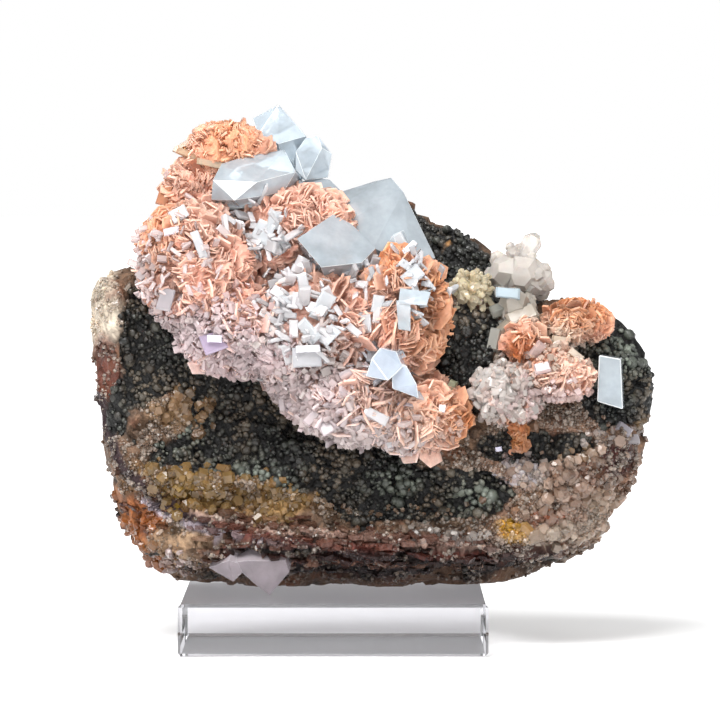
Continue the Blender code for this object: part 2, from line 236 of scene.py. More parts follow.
def rough_vectors(points: Array, scale: float, seed: int, octaves: int = 4) -> Array:
    """A vector of rough noise for each point."""
    noise = [rough_noise(points, scale, seed + axis, octaves) for axis in range(3)]
    return np.stack(noise, axis=1)


def facet_relief(points: Array, scale: float, seed: int) -> Array:
    """Give each cell one tilted plane, so that a surface breaks into flat facets."""
    cells = cell_pattern(points, scale, seed)
    return (cells.value - 0.5) + np.sum(cells.offset * cells.tilt, axis=1) * 0.9


def spot(points: Array, at_x: float, at_z: float, wide: float, high: float) -> Array:
    """A round swell in x and z that is 1 in its middle and fades outwards."""
    return np.exp(-((points[:, 0] - at_x) / wide) ** 2 - ((points[:, 2] - at_z) / high) ** 2)


def most(points: Array, fields: Fields) -> Array:
    """The strongest of several swells at each point, each given as x, z and its half sizes."""
    return np.max([spot(points, *given) for given in fields], axis=0, initial=0.0)


def step_up(value: Array, low: float, high: float) -> Array:
    """Rise smoothly from 0 at low to 1 at high."""
    share = np.clip((value - low) / (high - low), 0.0, 1.0)
    return share * share * (3.0 - 2.0 * share)


def blend(under: Array, over: Array | Colour, share: Array) -> Array:
    """Mix two colours: under * (1 - share) + over * share."""
    share = share[:, None]
    return under * (1.0 - share) + np.array(over) * share


def with_gloss(colour: Array, roughness: float | Array) -> Array:
    """A tint of four values: the colour, kept from 0 to 1, and the roughness."""
    rough = np.broadcast_to(roughness, len(colour))
    return np.column_stack([np.clip(colour, 0.0, 1.0), rough])


def keep_above(points: Array, height: float = REST) -> Array:
    """Lift every point that is below the given height up to it."""
    points[:, 2] = np.maximum(points[:, 2], height)
    return points


def skewed(draw: np.random.Generator, span: Span, count: int, power: float) -> Array:
    """Random values in a span, with more of them near its low end as the power rises."""
    return span[0] + (span[1] - span[0]) * draw.uniform(0, 1, count) ** power


def unit(vectors: Array) -> Array:
    """Give each vector the length 1."""
    return vectors / np.maximum(np.linalg.norm(vectors, axis=-1, keepdims=True), 1e-9)


def random_units(draw: np.random.Generator, count: int) -> Array:
    """Directions spread evenly over a sphere."""
    return unit(draw.normal(size=(count, 3)))


def turned_frames(outward: Array, draw: np.random.Generator) -> Array:
    """Make axes whose third is the given direction, each spun by a random angle.

    Args:
        outward: Directions of shape (n, 3).
        draw: The source of the spins.

    Returns:
        Matrices of shape (n, 3, 3) with the axes as rows.
    """
    helper = np.where(np.abs(outward[:, 2:3]) < 0.9, [[0.0, 0.0, 1.0]], [[1.0, 0.0, 0.0]])
    side = unit(np.cross(outward, helper))
    cross = np.cross(outward, side)
    spin = draw.uniform(0.0, 2.0 * math.pi, len(outward))[:, None]
    first = side * np.cos(spin) + cross * np.sin(spin)
    return np.stack([first, np.cross(outward, first), outward], axis=1)


# Meshes

def grid_faces(rows: int, columns: int) -> Array:
    """Quads of a grid that closes on itself along its columns."""
    row, column = np.meshgrid(np.arange(rows - 1), np.arange(columns), indexing="ij")
    after = (column + 1) % columns
    low = row * columns
    high = low + columns
    return np.stack([low + column, low + after, high + after, high + column], -1).reshape(-1, 4)


def build_mesh(name: str, verts: Array, faces: list[Array], tint: Array | None = None,
               smooth: bool = False) -> bpy.types.Object:
    """Make an object from whole arrays.

    Args:
        name: The piece's name.
        verts: Points of shape (n, 3), in millimetres.
        faces: Arrays of corner numbers, one array for each number of corners.
        tint: Colour and roughness of each point, of shape (n, 4).
        smooth: Whether the faces are shaded round.

    Returns:
        The new object, at the origin.
    """
    mesh = bpy.data.meshes.new(name)
    loops = np.concatenate([part.ravel() for part in faces])
    sizes = np.concatenate([np.full(len(part), part.shape[1]) for part in faces])
    starts = np.concatenate([[0], np.cumsum(sizes)[:-1]])
    mesh.vertices.add(len(verts))
    mesh.vertices.foreach_set("co", (verts * MM).astype(np.float32).ravel())
    mesh.loops.add(len(loops))
    mesh.loops.foreach_set("vertex_index", loops.astype(np.int32))
    mesh.polygons.add(len(sizes))
    mesh.polygons.foreach_set("loop_start", starts.astype(np.int32))
    mesh.update(calc_edges=True)
    mesh.polygons.foreach_set("use_smooth", np.full(len(sizes), smooth))
    if tint is not None:
        layer = mesh.color_attributes.new(name="tint", type="FLOAT_COLOR", domain="POINT")
        layer.data.foreach_set("color", tint.astype(np.float32).ravel())
    mesh.validate()
    made = bpy.data.objects.new(name, mesh)
    bpy.context.scene.collection.objects.link(made)
    return made


@dataclass(frozen=True)
class Shape:
    """A small closed form that is repeated: its points and its faces by number of corners."""

    points: Array
    faces: tuple[Array, ...]


def prism(flat: Array, levels: tuple[Span, ...], tip: float | None) -> Shape:
    """Carry a flat outline up through levels of (height, scale) and close both ends.

    Args:
        flat: Corners in order, anticlockwise, of shape (k, 2).
        levels: Height and scale of each ring, from the foot up.
        tip: Height of a point that closes the top, or None for a flat top.

    Returns:
        The closed form.
    """
    count = len(flat)
    rings = [np.column_stack([flat * scale, np.full(count, height)]) for height, scale in levels]
    points = np.concatenate(rings)
    sides = grid_faces(len(levels), count)
    ends = [np.arange(count)[::-1][None, :]]
    last = (len(levels) - 1) * count
    if tip is None:
        ends.append((last + np.arange(count))[None, :])
        return Shape(points, (sides, *ends))
    points = np.vstack([points, [[0.0, 0.0, tip]]])
    ring = last + np.arange(count)
    cap = np.stack([ring, np.roll(ring, -1), np.full(count, len(points) - 1)], axis=1)
    return Shape(points, (sides, ends[0], cap))


def polygon(sides: int) -> Array:
    """Corners of a regular polygon of radius 1."""
    angle = np.arange(sides) * 2.0 * math.pi / sides
    return np.column_stack([np.cos(angle), np.sin(angle)])


def quartz_point_shape() -> Shape:
    """A six-sided point: a prism from -0.5 to 0.6, then a pyramid up to 1."""
    return prism(polygon(6), ((-0.5, 0.9), (0.6, 1.0)), 1.0)


def stubby_shape() -> Shape:
    """A short six-sided crystal with a low blunt end."""
    return prism(polygon(6), ((-1.0, 0.85), (0.55, 1.0), (0.95, 0.5)), None)


def blade_shape() -> Shape:
    """A thin rhombic blade in x and y with one corner cut."""
    flat = np.array([[-0.6, -1.0], [0.7, -1.0], [1.0, 0.3], [0.1, 1.0], [-1.0, 0.55]])
    return prism(flat, ((-1.0, 0.95), (1.0, 1.0)), None)


def tablet_shape() -> Shape:
    """A rectangular tablet with bevelled long sides and ends."""
    flat = np.array([[-0.5, -1.0], [0.5, -1.0], [0.5, 1.0], [-0.5, 1.0]])
    return prism(flat, ((-1.0, 0.82), (-0.45, 1.0), (0.45, 1.0), (1.0, 0.82)), None)


def dome_shape() -> Shape:
    """Most of a seven-sided ball, from below its middle up to its top."""
    levels = tuple((math.sin(angle), math.cos(angle)) for angle in (-0.5, 0.25, 0.85))
    return prism(polygon(7), levels, 1.0)


def repeat_shape(shape: Shape, centres: Array, axes: Array,
                 sizes: Array) -> tuple[Array, list[Array]]:
    """Place copies of a shape and join their arrays.

    Args:
        shape: The form that is repeated.
        centres: Where each copy's origin goes, of shape (n, 3).
        axes: Each copy's axes as rows, of shape (n, 3, 3).
        sizes: Each copy's size along its own axes, of shape (n, 3).

    Returns:
        All points, and the faces by number of corners.
    """
    local = shape.points[None, :, :] * sizes[:, None, :]
    verts = np.einsum("nkj,nji->nki", local, axes) + centres[:, None, :]
    shift = (np.arange(len(centres)) * len(shape.points))[:, None, None]
    faces = [(part[None, :, :] + shift).reshape(-1, part.shape[1]) for part in shape.faces]
    return verts.reshape(-1, 3), faces


def join(parts: list[tuple[Array, list[Array], Array]]) -> tuple[Array, list[Array], Array]:
    """Join parts of points, faces and tint, whose faces have the same numbers of corners."""
    starts = np.cumsum([0] + [len(verts) for verts, _, _ in parts])
    faces = [np.concatenate([part[1][kind] + start for part, start in zip(parts, starts)])
             for kind in range(len(parts[0][1]))]
    verts = np.concatenate([part[0] for part in parts])
    return verts, faces, np.concatenate([part[2] for part in parts])


def spread(values: Array, shape: Shape) -> Array:
    """Give every point of a copy its copy's value."""
    return np.repeat(values, len(shape.points), axis=0)


# Materials

def add_node(tree: bpy.types.NodeTree, kind: str, values: dict[str | int, object] | None = None,
             **settings: object) -> bpy.types.Node:
    """Add a node with its settings, and with values or links on its input sockets.

    Args:
        tree: Where the node goes.
        kind: The node's type without ShaderNode.
        values: A value, or another node's output socket, by the input's name or number.
        settings: The node's own settings.

    Returns:
        The node.
    """
    made = tree.nodes.new(f"ShaderNode{kind}")
    for name, value in settings.items():
        setattr(made, name, value)
    fill(tree, made, values or {})
    return made


def fill(tree: bpy.types.NodeTree, node: bpy.types.Node, values: dict[str | int, object]) -> None:
    """Set or link the named input sockets of a node."""
    for name, value in values.items():
        if isinstance(value, bpy.types.NodeSocket):
            tree.links.new(value, node.inputs[name])
        else:
            node.inputs[name].default_value = value


def grain_group() -> bpy.types.NodeTree:
    """Group: fine and coarse noise on Object coordinates, as a tint factor, a mask and a normal.

    Factor = 1 + contrast * (noise - 0.5); height = noise - distance to the nearest grain's middle.
    """
    group = bpy.data.node_groups.new("mineral_grain", "ShaderNodeTree")
    for name, start in (("Scale", 400.0), ("Depth", 0.2), ("Contrast", 0.3)):
        socket = group.interface.new_socket(name=name, in_out="INPUT",
                                            socket_type="NodeSocketFloat")
        socket.default_value = start
    for name, kind in (("Factor", "Float"), ("Mask", "Float"), ("Normal", "Vector")):
        group.interface.new_socket(name=name, in_out="OUTPUT", socket_type=f"NodeSocket{kind}")
    given = group.nodes.new("NodeGroupInput").outputs
    result = group.nodes.new("NodeGroupOutput")
    place = {"Vector": add_node(group, "TexCoord").outputs["Object"], "Scale": given["Scale"]}
    noise = add_node(group, "TexNoise", place | {"Detail": 5.0, "Roughness": 0.65}).outputs["Fac"]
    grains = add_node(group, "TexVoronoi", place, feature="F1").outputs["Distance"]
    centred = add_node(group, "Math", {0: noise, 1: 0.5}, operation="SUBTRACT")
    swing = add_node(group, "Math", {0: centred.outputs[0], 1: given["Contrast"], 2: 1.0},
                     operation="MULTIPLY_ADD")
    height = add_node(group, "Math", {0: noise, 1: grains}, operation="SUBTRACT")
    bump = add_node(group, "Bump", {"Distance": 0.0006, "Height": height.outputs[0],
                                    "Strength": given["Depth"]})
    fill(group, result, {"Factor": swing.outputs[0], "Mask": grains,
                         "Normal": bump.outputs["Normal"]})
    return group


class Source(Enum):
    """Where a finish takes its colour and its roughness from."""

    TINT = "the mesh's own tint"
    PLAIN = "the finish itself"


@dataclass(frozen=True)
class Finish:
    """A mineral surface: colour, gloss, clearness, and the size and strength of its grain.

    A tinted finish takes colour and roughness from its mesh, a plain one from here. A dull top
    is the roughness where a plain one looks up.
    """

    name: str
    source: Source = Source.TINT
    colour: Colour = (0.8, 0.8, 0.8)
    roughness: float = 0.5
    clearness: float = 0.0
    ior: float = 1.5
    scatter: float = 0.0
    coat: float = 0.0
    grain_scale: float = 400.0
    grain_depth: float = 0.2
    grain_contrast: float = 0.3
    absorption: float = 0.0
    absorbed: Colour = (1.0, 1.0, 1.0)
    dull_top: float = 0.0
    shine: float = 0.5

    def build(self, grain: bpy.types.NodeTree) -> bpy.types.Material:
        """Make the material, whose colour and roughness are both multiplied by the grain.

        Args:
            grain: The shared grain group.

        Returns:
            The material.
        """
        made = bpy.data.materials.new(self.name)
        made.use_nodes = True
        tree = made.node_tree
        group = tree.nodes.new("ShaderNodeGroup")
        group.node_tree = grain
        fill(tree, group, {"Scale": self.grain_scale, "Depth": self.grain_depth,
                           "Contrast": self.grain_contrast})
        factor = group.outputs["Factor"]
        colour, gloss = self.colour, self.roughness
        if self.source is Source.TINT:
            tint = add_node(tree, "Attribute", attribute_name="tint").outputs
            colour, gloss = tint["Color"], tint["Alpha"]
        elif self.dull_top > 0.0:
            gloss = self.top_gloss(tree)
        shade = add_node(tree, "VectorMath", {0: colour, "Scale": factor}, operation="SCALE")
        rough = add_node(tree, "Math", {0: factor, 1: gloss}, operation="MULTIPLY", use_clamp=True)
        fill(tree, tree.nodes["Principled BSDF"], {
            "Base Color": shade.outputs[0], "Roughness": rough.outputs[0],
            "Normal": group.outputs["Normal"], "Transmission Weight": self.clearness,
            "IOR": self.ior, "Specular IOR Level": self.shine, "Coat Weight": self.coat,
            "Coat Roughness": 0.12, "Subsurface Weight": self.scatter,
            "Subsurface Radius": (1.0, 0.6, 0.4), "Subsurface Scale": 0.0015})
        if self.absorption > 0.0:
            volume = add_node(tree, "VolumeAbsorption", {"Color": (*self.absorbed, 1.0),
                                                         "Density": self.absorption})
            fill(tree, tree.nodes["Material Output"], {"Volume": volume.outputs["Volume"]})
        return made

    def top_gloss(self, tree: bpy.types.NodeTree) -> bpy.types.NodeSocket:
        """Roughness by which way a face looks: plain at the sides, duller where it looks up."""
        facing = add_node(tree, "NewGeometry").outputs["True Normal"]
        split = add_node(tree, "SeparateXYZ", {0: facing})
        ramp = add_node(tree, "MapRange", {
            "Value": split.outputs["Z"], "From Min": 0.8, "From Max": 0.95,
            "To Min": self.roughness, "To Max": self.dull_top})
        return ramp.outputs["Result"]


ACRYLIC = Finish("clear_acrylic", Source.PLAIN, srgb(226, 224, 228), 0.03, 1.0, 1.49,
                 grain_depth=0.0, grain_contrast=0.0, absorption=4.0, absorbed=(0.80, 0.84, 0.86),
                 dull_top=0.45)
BARITE = Finish("clear_barite", Source.PLAIN, srgb(214, 225, 233), 0.06, 0.6, 1.6,
                grain_scale=55.0, grain_depth=0.1, grain_contrast=1.7,
                absorption=30.0, absorbed=srgb(212, 220, 226))
BLUE_BARITE = Finish("blue_barite", Source.PLAIN, srgb(210, 222, 238), 0.12, 0.5, 1.6,
                     grain_scale=90.0, grain_depth=0.05, grain_contrast=1.0,
                     absorption=24.0, absorbed=srgb(184, 206, 236))
ROSE_BARITE = Finish("rose_barite", Source.PLAIN, srgb(212, 200, 206), 0.14, 0.6, 1.5,
                     grain_scale=160.0, grain_depth=0.1, grain_contrast=0.8)
# Painted highlight: the whiter, less clear finish that the crystals' eased edges take
EDGE_HIGHLIGHT = Finish("barite_edge_highlight", Source.PLAIN, srgb(238, 242, 244), 0.25, 0.25, 1.6,
              grain_scale=900.0, grain_depth=0.1, grain_contrast=0.5)
TABS = Finish("clear_tabs", clearness=0.5,
              grain_scale=300.0, grain_depth=0.05, grain_contrast=0.15)
BLADES = Finish("peach_blades", scatter=0.2,
                coat=0.05, grain_scale=700.0, grain_depth=0.4, grain_contrast=0.7)
ROCK = Finish("banded_rock", shine=0.35,
              grain_scale=900.0, grain_depth=0.9, grain_contrast=1.3)
CRUST = Finish("black_crust", shine=0.45,
               grain_scale=1500.0, grain_depth=0.3, grain_contrast=0.6)
DRUSE = Finish("sugary_quartz", clearness=0.45,
               scatter=0.1, grain_scale=700.0, grain_depth=0.2, grain_contrast=0.7)
QUARTZ = Finish("cream_quartz", clearness=0.55,
                scatter=0.1, grain_scale=300.0, grain_depth=0.12, grain_contrast=0.5)


FINISHES = (ACRYLIC, BARITE, BLUE_BARITE, ROSE_BARITE, EDGE_HIGHLIGHT, TABS, BLADES, ROCK, CRUST, DRUSE,
            QUARTZ)


def settle(piece: bpy.types.Object, finish: bpy.types.Material, slot: str, *nodes: str,
           edges: bpy.types.Material | None = None) -> None:
    """Dress a piece, let it ride on the body, and hide the solids it stands for."""
    piece.data.materials.clear()
    piece.data.materials.append(finish)
    if edges is not None:
        piece.data.materials.append(edges)
    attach(piece, "root")
    if nodes:
        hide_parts(*nodes)
    LOG.info("%s: %d faces", piece.name, len(piece.data.polygons))


# The rock

def rim_share(points: Array) -> tuple[Array, Array]:
    """How far out each point is as a share of the rim's radius, and the rim's depth there."""
    across = points[:, 0] - ROCK_CENTRE[0]
    up = points[:, 2] - ROCK_CENTRE[1]
    radius, depth = rim_at(np.arctan2(up, across))
    return np.hypot(across, up) / radius, depth


def rim_at(angles: Array) -> tuple[Array, Array]:
    """Radius and depth of the rock's rim in each direction from the rock's centre."""
    rim = np.array(ROCK_RIM, dtype=float)
    across = rim[:, 0] - ROCK_CENTRE[0]
    up = rim[:, 2] - ROCK_CENTRE[1]
    turn = np.arctan2(up, across)
    order = np.argsort(turn)
    radius = np.interp(angles, turn[order], np.hypot(across, up)[order], period=2 * math.pi)
    depth = np.interp(angles, turn[order], rim[order, 1], period=2 * math.pi)
    return radius, depth


def swell_at(share: Array | float) -> Array | float:
    """How much of its depth the rock's surface has at a share of the rim's radius."""
    return (1.0 - share ** SWELL_POWER) ** SWELL_ROUND


def front_depth(x: Array, z: Array) -> Array:
    """Depth of the rock's front: a flat start, its swells, hollows and ledges, and its lean."""
    points = np.column_stack([x, np.zeros_like(x), z])
    y = np.full_like(x, ROCK_FRONT)
    for at_x, at_z, wide, high, push in ROCK_RELIEF:
        y += push * spot(points, at_x, at_z, wide, high)
    return y + CROWN_LEAN * np.maximum(z - CROWN_START, 0.0)


def back_depth(x: Array, z: Array) -> Array:
    """Depth of the rock's back: a hump with one groove that leans forward above its crest."""
    height, half, deep = BACK_GROOVE
    y = ROCK_BACK - deep * np.exp(-((z - height) / half) ** 2)
    return y - CREST_LEAN * np.maximum(z - CREST_START, 0.0)


@dataclass(frozen=True)
class Tone:
    """A zone that takes another colour: its middle, half sizes and colour."""

    x: float
    z: float
    wide: float
    high: float
    colour: Colour
    strength: float = 1.0


@dataclass(frozen=True)
class Patch(Tone):
    """A tone on the rock's front with a clear limit, whose middle line may slope."""

    slope: float = 0.0

    def share(self, points: Array) -> Array:
        """How much of the patch's colour each point takes."""
        middle = self.z + self.slope * (points[:, 0] - self.x)
        across = (points[:, 0] - self.x) / self.wide
        up = (points[:, 2] - middle) / self.high
        return self.strength * step_up(1.6 - across ** 2 - up ** 2, 0.0, 1.0)


@dataclass(frozen=True)
class Band:
    """A bed that runs along a line of x, z points on the rock's front.

    Its half width, colour, strength and height over the rock around it come after the line.
    """

    line: tuple[Span, ...]
    half: float
    colour: Colour
    strength: float = 0.9
    height: float = 0.0

    def share(self, points: Array) -> Array:
        """How near each point is to the line: 1 on it, 0 beyond the half width."""
        line = np.array(self.line, dtype=float)
        place = points[:, [0, 2]]
        near = np.full(len(points), 1e9)
        for start, end in zip(line[:-1], line[1:]):
            way = end - start
            along = np.clip((place - start) @ way / (way @ way), 0.0, 1.0)
            near = np.minimum(near, np.linalg.norm(place - start - along[:, None] * way, axis=1))
        return step_up(self.half * 1.25 - near, 0.0, self.half * 0.5)


ROCK_BASE = srgb(104, 80, 62)
# Rows of x, z, half width, half height, screen colour, strength and slope
ROCK_PATCHES = rows_of(Patch, (
    (17.8, 21.5, 46, 7, (58, 34, 28), 0.9), (57, 40, 20, 16, (146, 112, 92), 0.9),
    (63, 45, 6, 4, (104, 70, 54), 0.85), (49, 45, 5, 4, (176, 164, 160), 0.8),
    (57, 49, 8, 3, (126, 102, 66), 0.8), (68, 30, 5, 5, (196, 176, 158), 0.8),
    (55, 36, 4, 2, (92, 60, 44), 0.8), (50, 37, 5, 3, (120, 88, 62), 0.8),
    (60, 33, 5, 3, (176, 146, 128), 0.8), (-27, 40, 26, 6, (132, 100, 62), 0.9, -0.08),
    (-59, 84.5, 5.5, 11, (196, 182, 164), 1), (-58, 66, 4.5, 10, (112, 62, 50), 0.9),
    (-55, 54, 3, 5, (150, 120, 98), 0.8), (-38.5, 59.6, 8, 6.5, (150, 120, 90), 1),
    (-49, 26, 9, 10, (142, 84, 46), 1), (-38, 24.5, 10, 5, (150, 124, 98), 0.9),
    (-10, 23.5, 24, 3.2, (70, 34, 26), 0.9), (-35, 39, 7, 5, (146, 114, 66), 0.9),
    (-14, 36, 6, 3.4, (148, 116, 74), 0.9), (45.5, 29.6, 4.4, 2.8, (178, 132, 44), 1),
    (54, 33, 4, 2.2, (160, 80, 40), 0.8), (71, 47, 4.5, 5, (66, 32, 28), 1),
    (56.5, 28, 6, 3, (198, 178, 158), 0.9), (67.4, 36, 4, 4.5, (180, 158, 136), 0.8),
    (49, 22.5, 8, 4, (60, 32, 26), 0.9), (29, 101, 5, 3, (150, 108, 62), 0.9),
    (78, 62, 4, 8, (146, 122, 92), 0.8),
))
# Rows of a line of x, z points, half width, screen colour, strength and height
BANDS = rows_of(Band, (
    (((-59, 62), (-57, 53), (-53, 44), (-47, 38.5), (-38, 33.5), (-26, 29), (-11, 27.5)),
     1.5, (44, 28, 34), 0.95, 0.8),
    (((-47.5, 36), (-42.5, 32.3), (-35.5, 29.8), (-24, 28), (-14, 27)),
     0.9, (188, 176, 186), 0.95, 1),
    (((-36, 34.2), (-22, 30.5), (-8, 29.2), (9, 27.6), (26, 26.4), (40, 25)),
     0.6, (176, 146, 132), 0.9, 1.6),
    (((-30, 31.2), (-8, 26.6), (9, 25.2), (28, 23.4), (42, 21.5)), 0.8, (98, 46, 36), 0.9, 0.9),
    (((-26, 24.5), (-6, 24.2), (12, 22.6), (30, 21), (44, 18.5)), 0.7, (30, 22, 22), 0.95, -0.9),
    (((-18, 21.4), (4, 20.6), (22, 19.4), (38, 18.4)), 0.7, (150, 112, 92), 0.8, 1),
    (((-10, 18.8), (12, 17.8), (34, 16.6), (52, 18.6)), 1.2, (26, 18, 18), 0.95, -0.6),
    (((-55, 38), (-52, 30), (-47, 22), (-42, 17)), 1.6, (150, 92, 50), 0.85, 1.2),
))
# Where the black crust lies: x, z, half width, half height
CRUST_FIELDS = (
    (-12, 60, 44, 21), (-45, 77, 8, 17), (24, 38, 26, 7), (32, 72, 8, 15), (32, 102, 19, 13),
    (71, 71, 11, 16), (4, 113, 12, 5), (48, 92, 12, 6), (52, 50, 16, 5),
)
# How far back the crust goes
CRUST_BACK = 21.0
# Bare spots in the crust, in the same form as where it lies
BARE_SPOTS = (
    (-40, 57, 9, 7), (60, 41, 16, 8), (-33, 38, 14, 5), (46, 30, 8, 5), (29, 101, 3, 1.8),
)


def crust_share(points: Array) -> Array:
    """How much black crust covers each point of the rock, from 0 to 1."""
    total = np.zeros(len(points))
    for at_x, at_z, wide, high in CRUST_FIELDS:
        across = (points[:, 0] - at_x) / wide
        up = (points[:, 2] - at_z) / high
        total = np.maximum(total, 1.25 - across ** 2 - up ** 2)
    for at_x, at_z, wide, high in BARE_SPOTS:
        total -= 1.1 * spot(points, at_x, at_z, wide, high)
    ragged = total + 0.4 * rough_noise(points, 8.0, Noise.CRUST_EDGE)
    limit = CRUST_BACK - points[:, 1] + 9.0 * rough_noise(points, 12.0, Noise.CRUST_LIMIT)
    return step_up(ragged, 0.05, 0.2) * step_up(limit, 0.0, 5.0)


def row_shares(inner: int, outer: int) -> Array:
    """Shares of the radius: even steps in the middle, then even steps of depth to the rim."""
    first, turn = 0.004, 0.85
    steep = np.linspace(swell_at(turn), 0.0, outer + 1)[1:]
    rounded = (1.0 - steep ** (1.0 / SWELL_ROUND)) ** (1.0 / SWELL_POWER)
    return np.concatenate([np.linspace(first, turn, inner), rounded])


@dataclass
class MatrixRock:
    """The banded rock: rings of points from the front's middle over the rim to the back's.

    Facets and grain are each a size and a height. The relief is at most highest, less at the rim.
    Left of slab_from the rock is smoother. Sugar and colour end at the depths sugar_back and
    colour_back. The underside rises between under_top and under_back, and nothing stands out
    below sunk_below.
    """

    columns: int = 520
    front_rows: tuple[int, int] = (82, 38)
    back_rows: tuple[int, int] = (48, 20)
    facet_large: Span = (12.0, 2.2)
    facet_small: Span = (4.2, 1.5)
    grain: Span = (1.3, 0.5)
    highest: float = 2.6
    underside_lift: float = 3.0
    rim_start: float = 0.84
    rim_inset: float = 0.4
    slab_from: float = -50.0
    sugar_back: float = 18.0
    colour_back: float = 15.0
    under_top: float = 24.0
    under_back: float = 14.0
    sunk_below: float = 20.0
    points: Array = field(default_factory=lambda: np.zeros((0, 3)))
    normals: Array = field(default_factory=lambda: np.zeros((0, 3)))
    crust: Array = field(default_factory=lambda: np.zeros(0))
    area: Array = field(default_factory=lambda: np.zeros(0))

    def rings(self) -> Array:
        """The smooth form as rows of points: y runs from the rim's depth to the surface's depth."""
        angles = np.linspace(-math.pi, math.pi, self.columns, endpoint=False)
        radius, rim_depth = rim_at(angles)
        rows = []
        back = row_shares(*self.back_rows)
        for side, fractions in ((-1, row_shares(*self.front_rows)), (1, back[::-1][1:])):
            for fraction in fractions:
                x = ROCK_CENTRE[0] + radius * fraction * np.cos(angles)
                z = ROCK_CENTRE[1] + radius * fraction * np.sin(angles)
                surface = front_depth(x, z) if side < 0 else back_depth(x, z)
                y = rim_depth + (surface - rim_depth) * swell_at(fraction)
                rows.append(np.column_stack([x, y, z]))
        return np.stack(rows)

    def row_normals(self, rows: Array) -> Array:
        """Outward directions, as long as the area around each point, from the row differences."""
        along = np.roll(rows, -1, axis=1) - np.roll(rows, 1, axis=1)
        across = np.gradient(rows, axis=0)
        return np.cross(across, along).reshape(-1, 3)

    def relief(self, points: Array, crust: Array) -> Array:
        """Height along the normal: two sizes of facets, lumps, beds and grains."""
        large = facet_relief(points, self.facet_large[0], Noise.LARGE_FACETS) * self.facet_large[1]
        small = facet_relief(points, self.facet_small[0], Noise.SMALL_FACETS) * self.facet_small[1]
        grains = cell_pattern(points, self.grain[0], Noise.GRAINS)
        sugar = (0.5 - grains.nearest) * self.grain[1]
        slab = step_up(self.slab_from - points[:, 0], 0.0, 4.0)
        moved = points + 0.8 * rough_noise(points, 6.0, Noise.BED_BENDS)[:, None]
        beds = sum(band.height * band.share(moved) for band in BANDS)
        beds += crust * (2.2 * rough_noise(points, 8.0, Noise.CRUST_LUMPS) - 1.2)
        sugar *= step_up(self.sugar_back - points[:, 1], 0.0, 8.0)
        return (large + small * (1.0 - 0.5 * crust) * (1.0 - 0.7 * slab)
                + sugar * (1.0 - 0.8 * crust) * (1.0 - 0.6 * slab) + beds - 0.6)

    def tint(self, points: Array, crust: Array) -> Array:
        """Colour and roughness: patches and beds over the base, then grains and the crust."""
        warp = rough_vectors(points, 6.0, Noise.COLOUR_WARP)
        moved = points + warp * 2.2
        front = step_up(self.colour_back - points[:, 1] + 12.0 * warp[:, 1], 0.0, 8.0)
        colour = np.tile(np.array(ROCK_BASE), (len(points), 1))
        for patch in ROCK_PATCHES:
            colour = blend(colour, patch.colour, patch.share(moved) * front)
        grains = cell_pattern(points, self.grain[0], Noise.GRAINS)
        cloudy = (rough_noise(points, 4.5, Noise.CLOUDS) * front
                  + rough_noise(points, 9.0, Noise.CLOUDS, 2) * (1.0 - front))
        colour *= (0.95 + (0.8 * grains.value - 0.4) * front)[:, None]
        colour *= (1.0 + 0.5 * cloudy)[:, None]
        rusty = step_up(rough_noise(points, 7.0, Noise.RUST, 3), 0.2, 0.5)
        colour = blend(colour, srgb(104, 54, 30), 0.55 * rusty)
        for band in BANDS:
            share = band.strength * band.share(points + warp * 1.1) * front
            colour = blend(colour, band.colour, share)
        dark = np.array(srgb(12, 11, 10)) * (0.5 + grains.value)[:, None]
        return with_gloss(blend(colour, dark, crust), 0.55 - 0.1 * crust)

    def bare_colour(self, points: Array) -> Array:
        """The rock's colour at each point without its crust."""
        return self.tint(points, np.zeros(len(points)))[:, :3]

    def make(self) -> bpy.types.Object:
        """Build the rock and keep its surface for what grows on it."""
        rows = self.rings()
        shape = rows.shape
        flat = rows.reshape(-1, 3)
        outward = unit(self.row_normals(rows))
        crust = crust_share(flat)
        lift = self.relief(flat, crust)
        rim = step_up(rim_share(flat)[0], self.rim_start, 1.0)
        lift = np.minimum(lift - self.rim_inset * rim, self.highest - self.highest * rim)
        under = (step_up(self.under_top - flat[:, 2], 0.0, 8.0)
                 * step_up(self.under_back - flat[:, 1], 0.0, 8.0))
        lift = np.where(flat[:, 2] < self.sunk_below, np.minimum(lift, 0.0), lift)
        flat = flat + outward * lift[:, None]
        ragged = 1.0 + 0.9 * rough_noise(flat, 7.0, Noise.UNDERSIDE)
        flat[:, 2] += self.underside_lift * under * ragged
        self.points = keep_above(flat)
        facing = self.row_normals(flat.reshape(shape))
        self.normals = unit(facing)
        self.area = np.linalg.norm(facing, axis=1)
        self.crust = crust
        ends = [np.arange(self.columns)[None, :],
                (len(flat) - self.columns + np.arange(self.columns))[::-1][None, :]]
        faces = [grid_faces(shape[0], self.columns)[:, ::-1], *ends]
        return build_mesh("matrix_surface", flat, faces, self.tint(flat, crust), smooth=True)

    def pick(self, chance: Array, count: int, draw: np.random.Generator) -> Array:
        """Draw points of the surface, as often as their chance and the area around them say."""
        weight = chance * self.area
        return draw.choice(len(self.points), count, replace=False, p=weight / weight.sum())


# Where the beads are greenish grey and larger: x, z, half width, half height
GREEN_BEADS = ((-40, 52, 6, 6), (-22, 42, 12, 4), (36, 38, 8, 5), (16, 41, 7, 4), (72, 74, 7, 8))


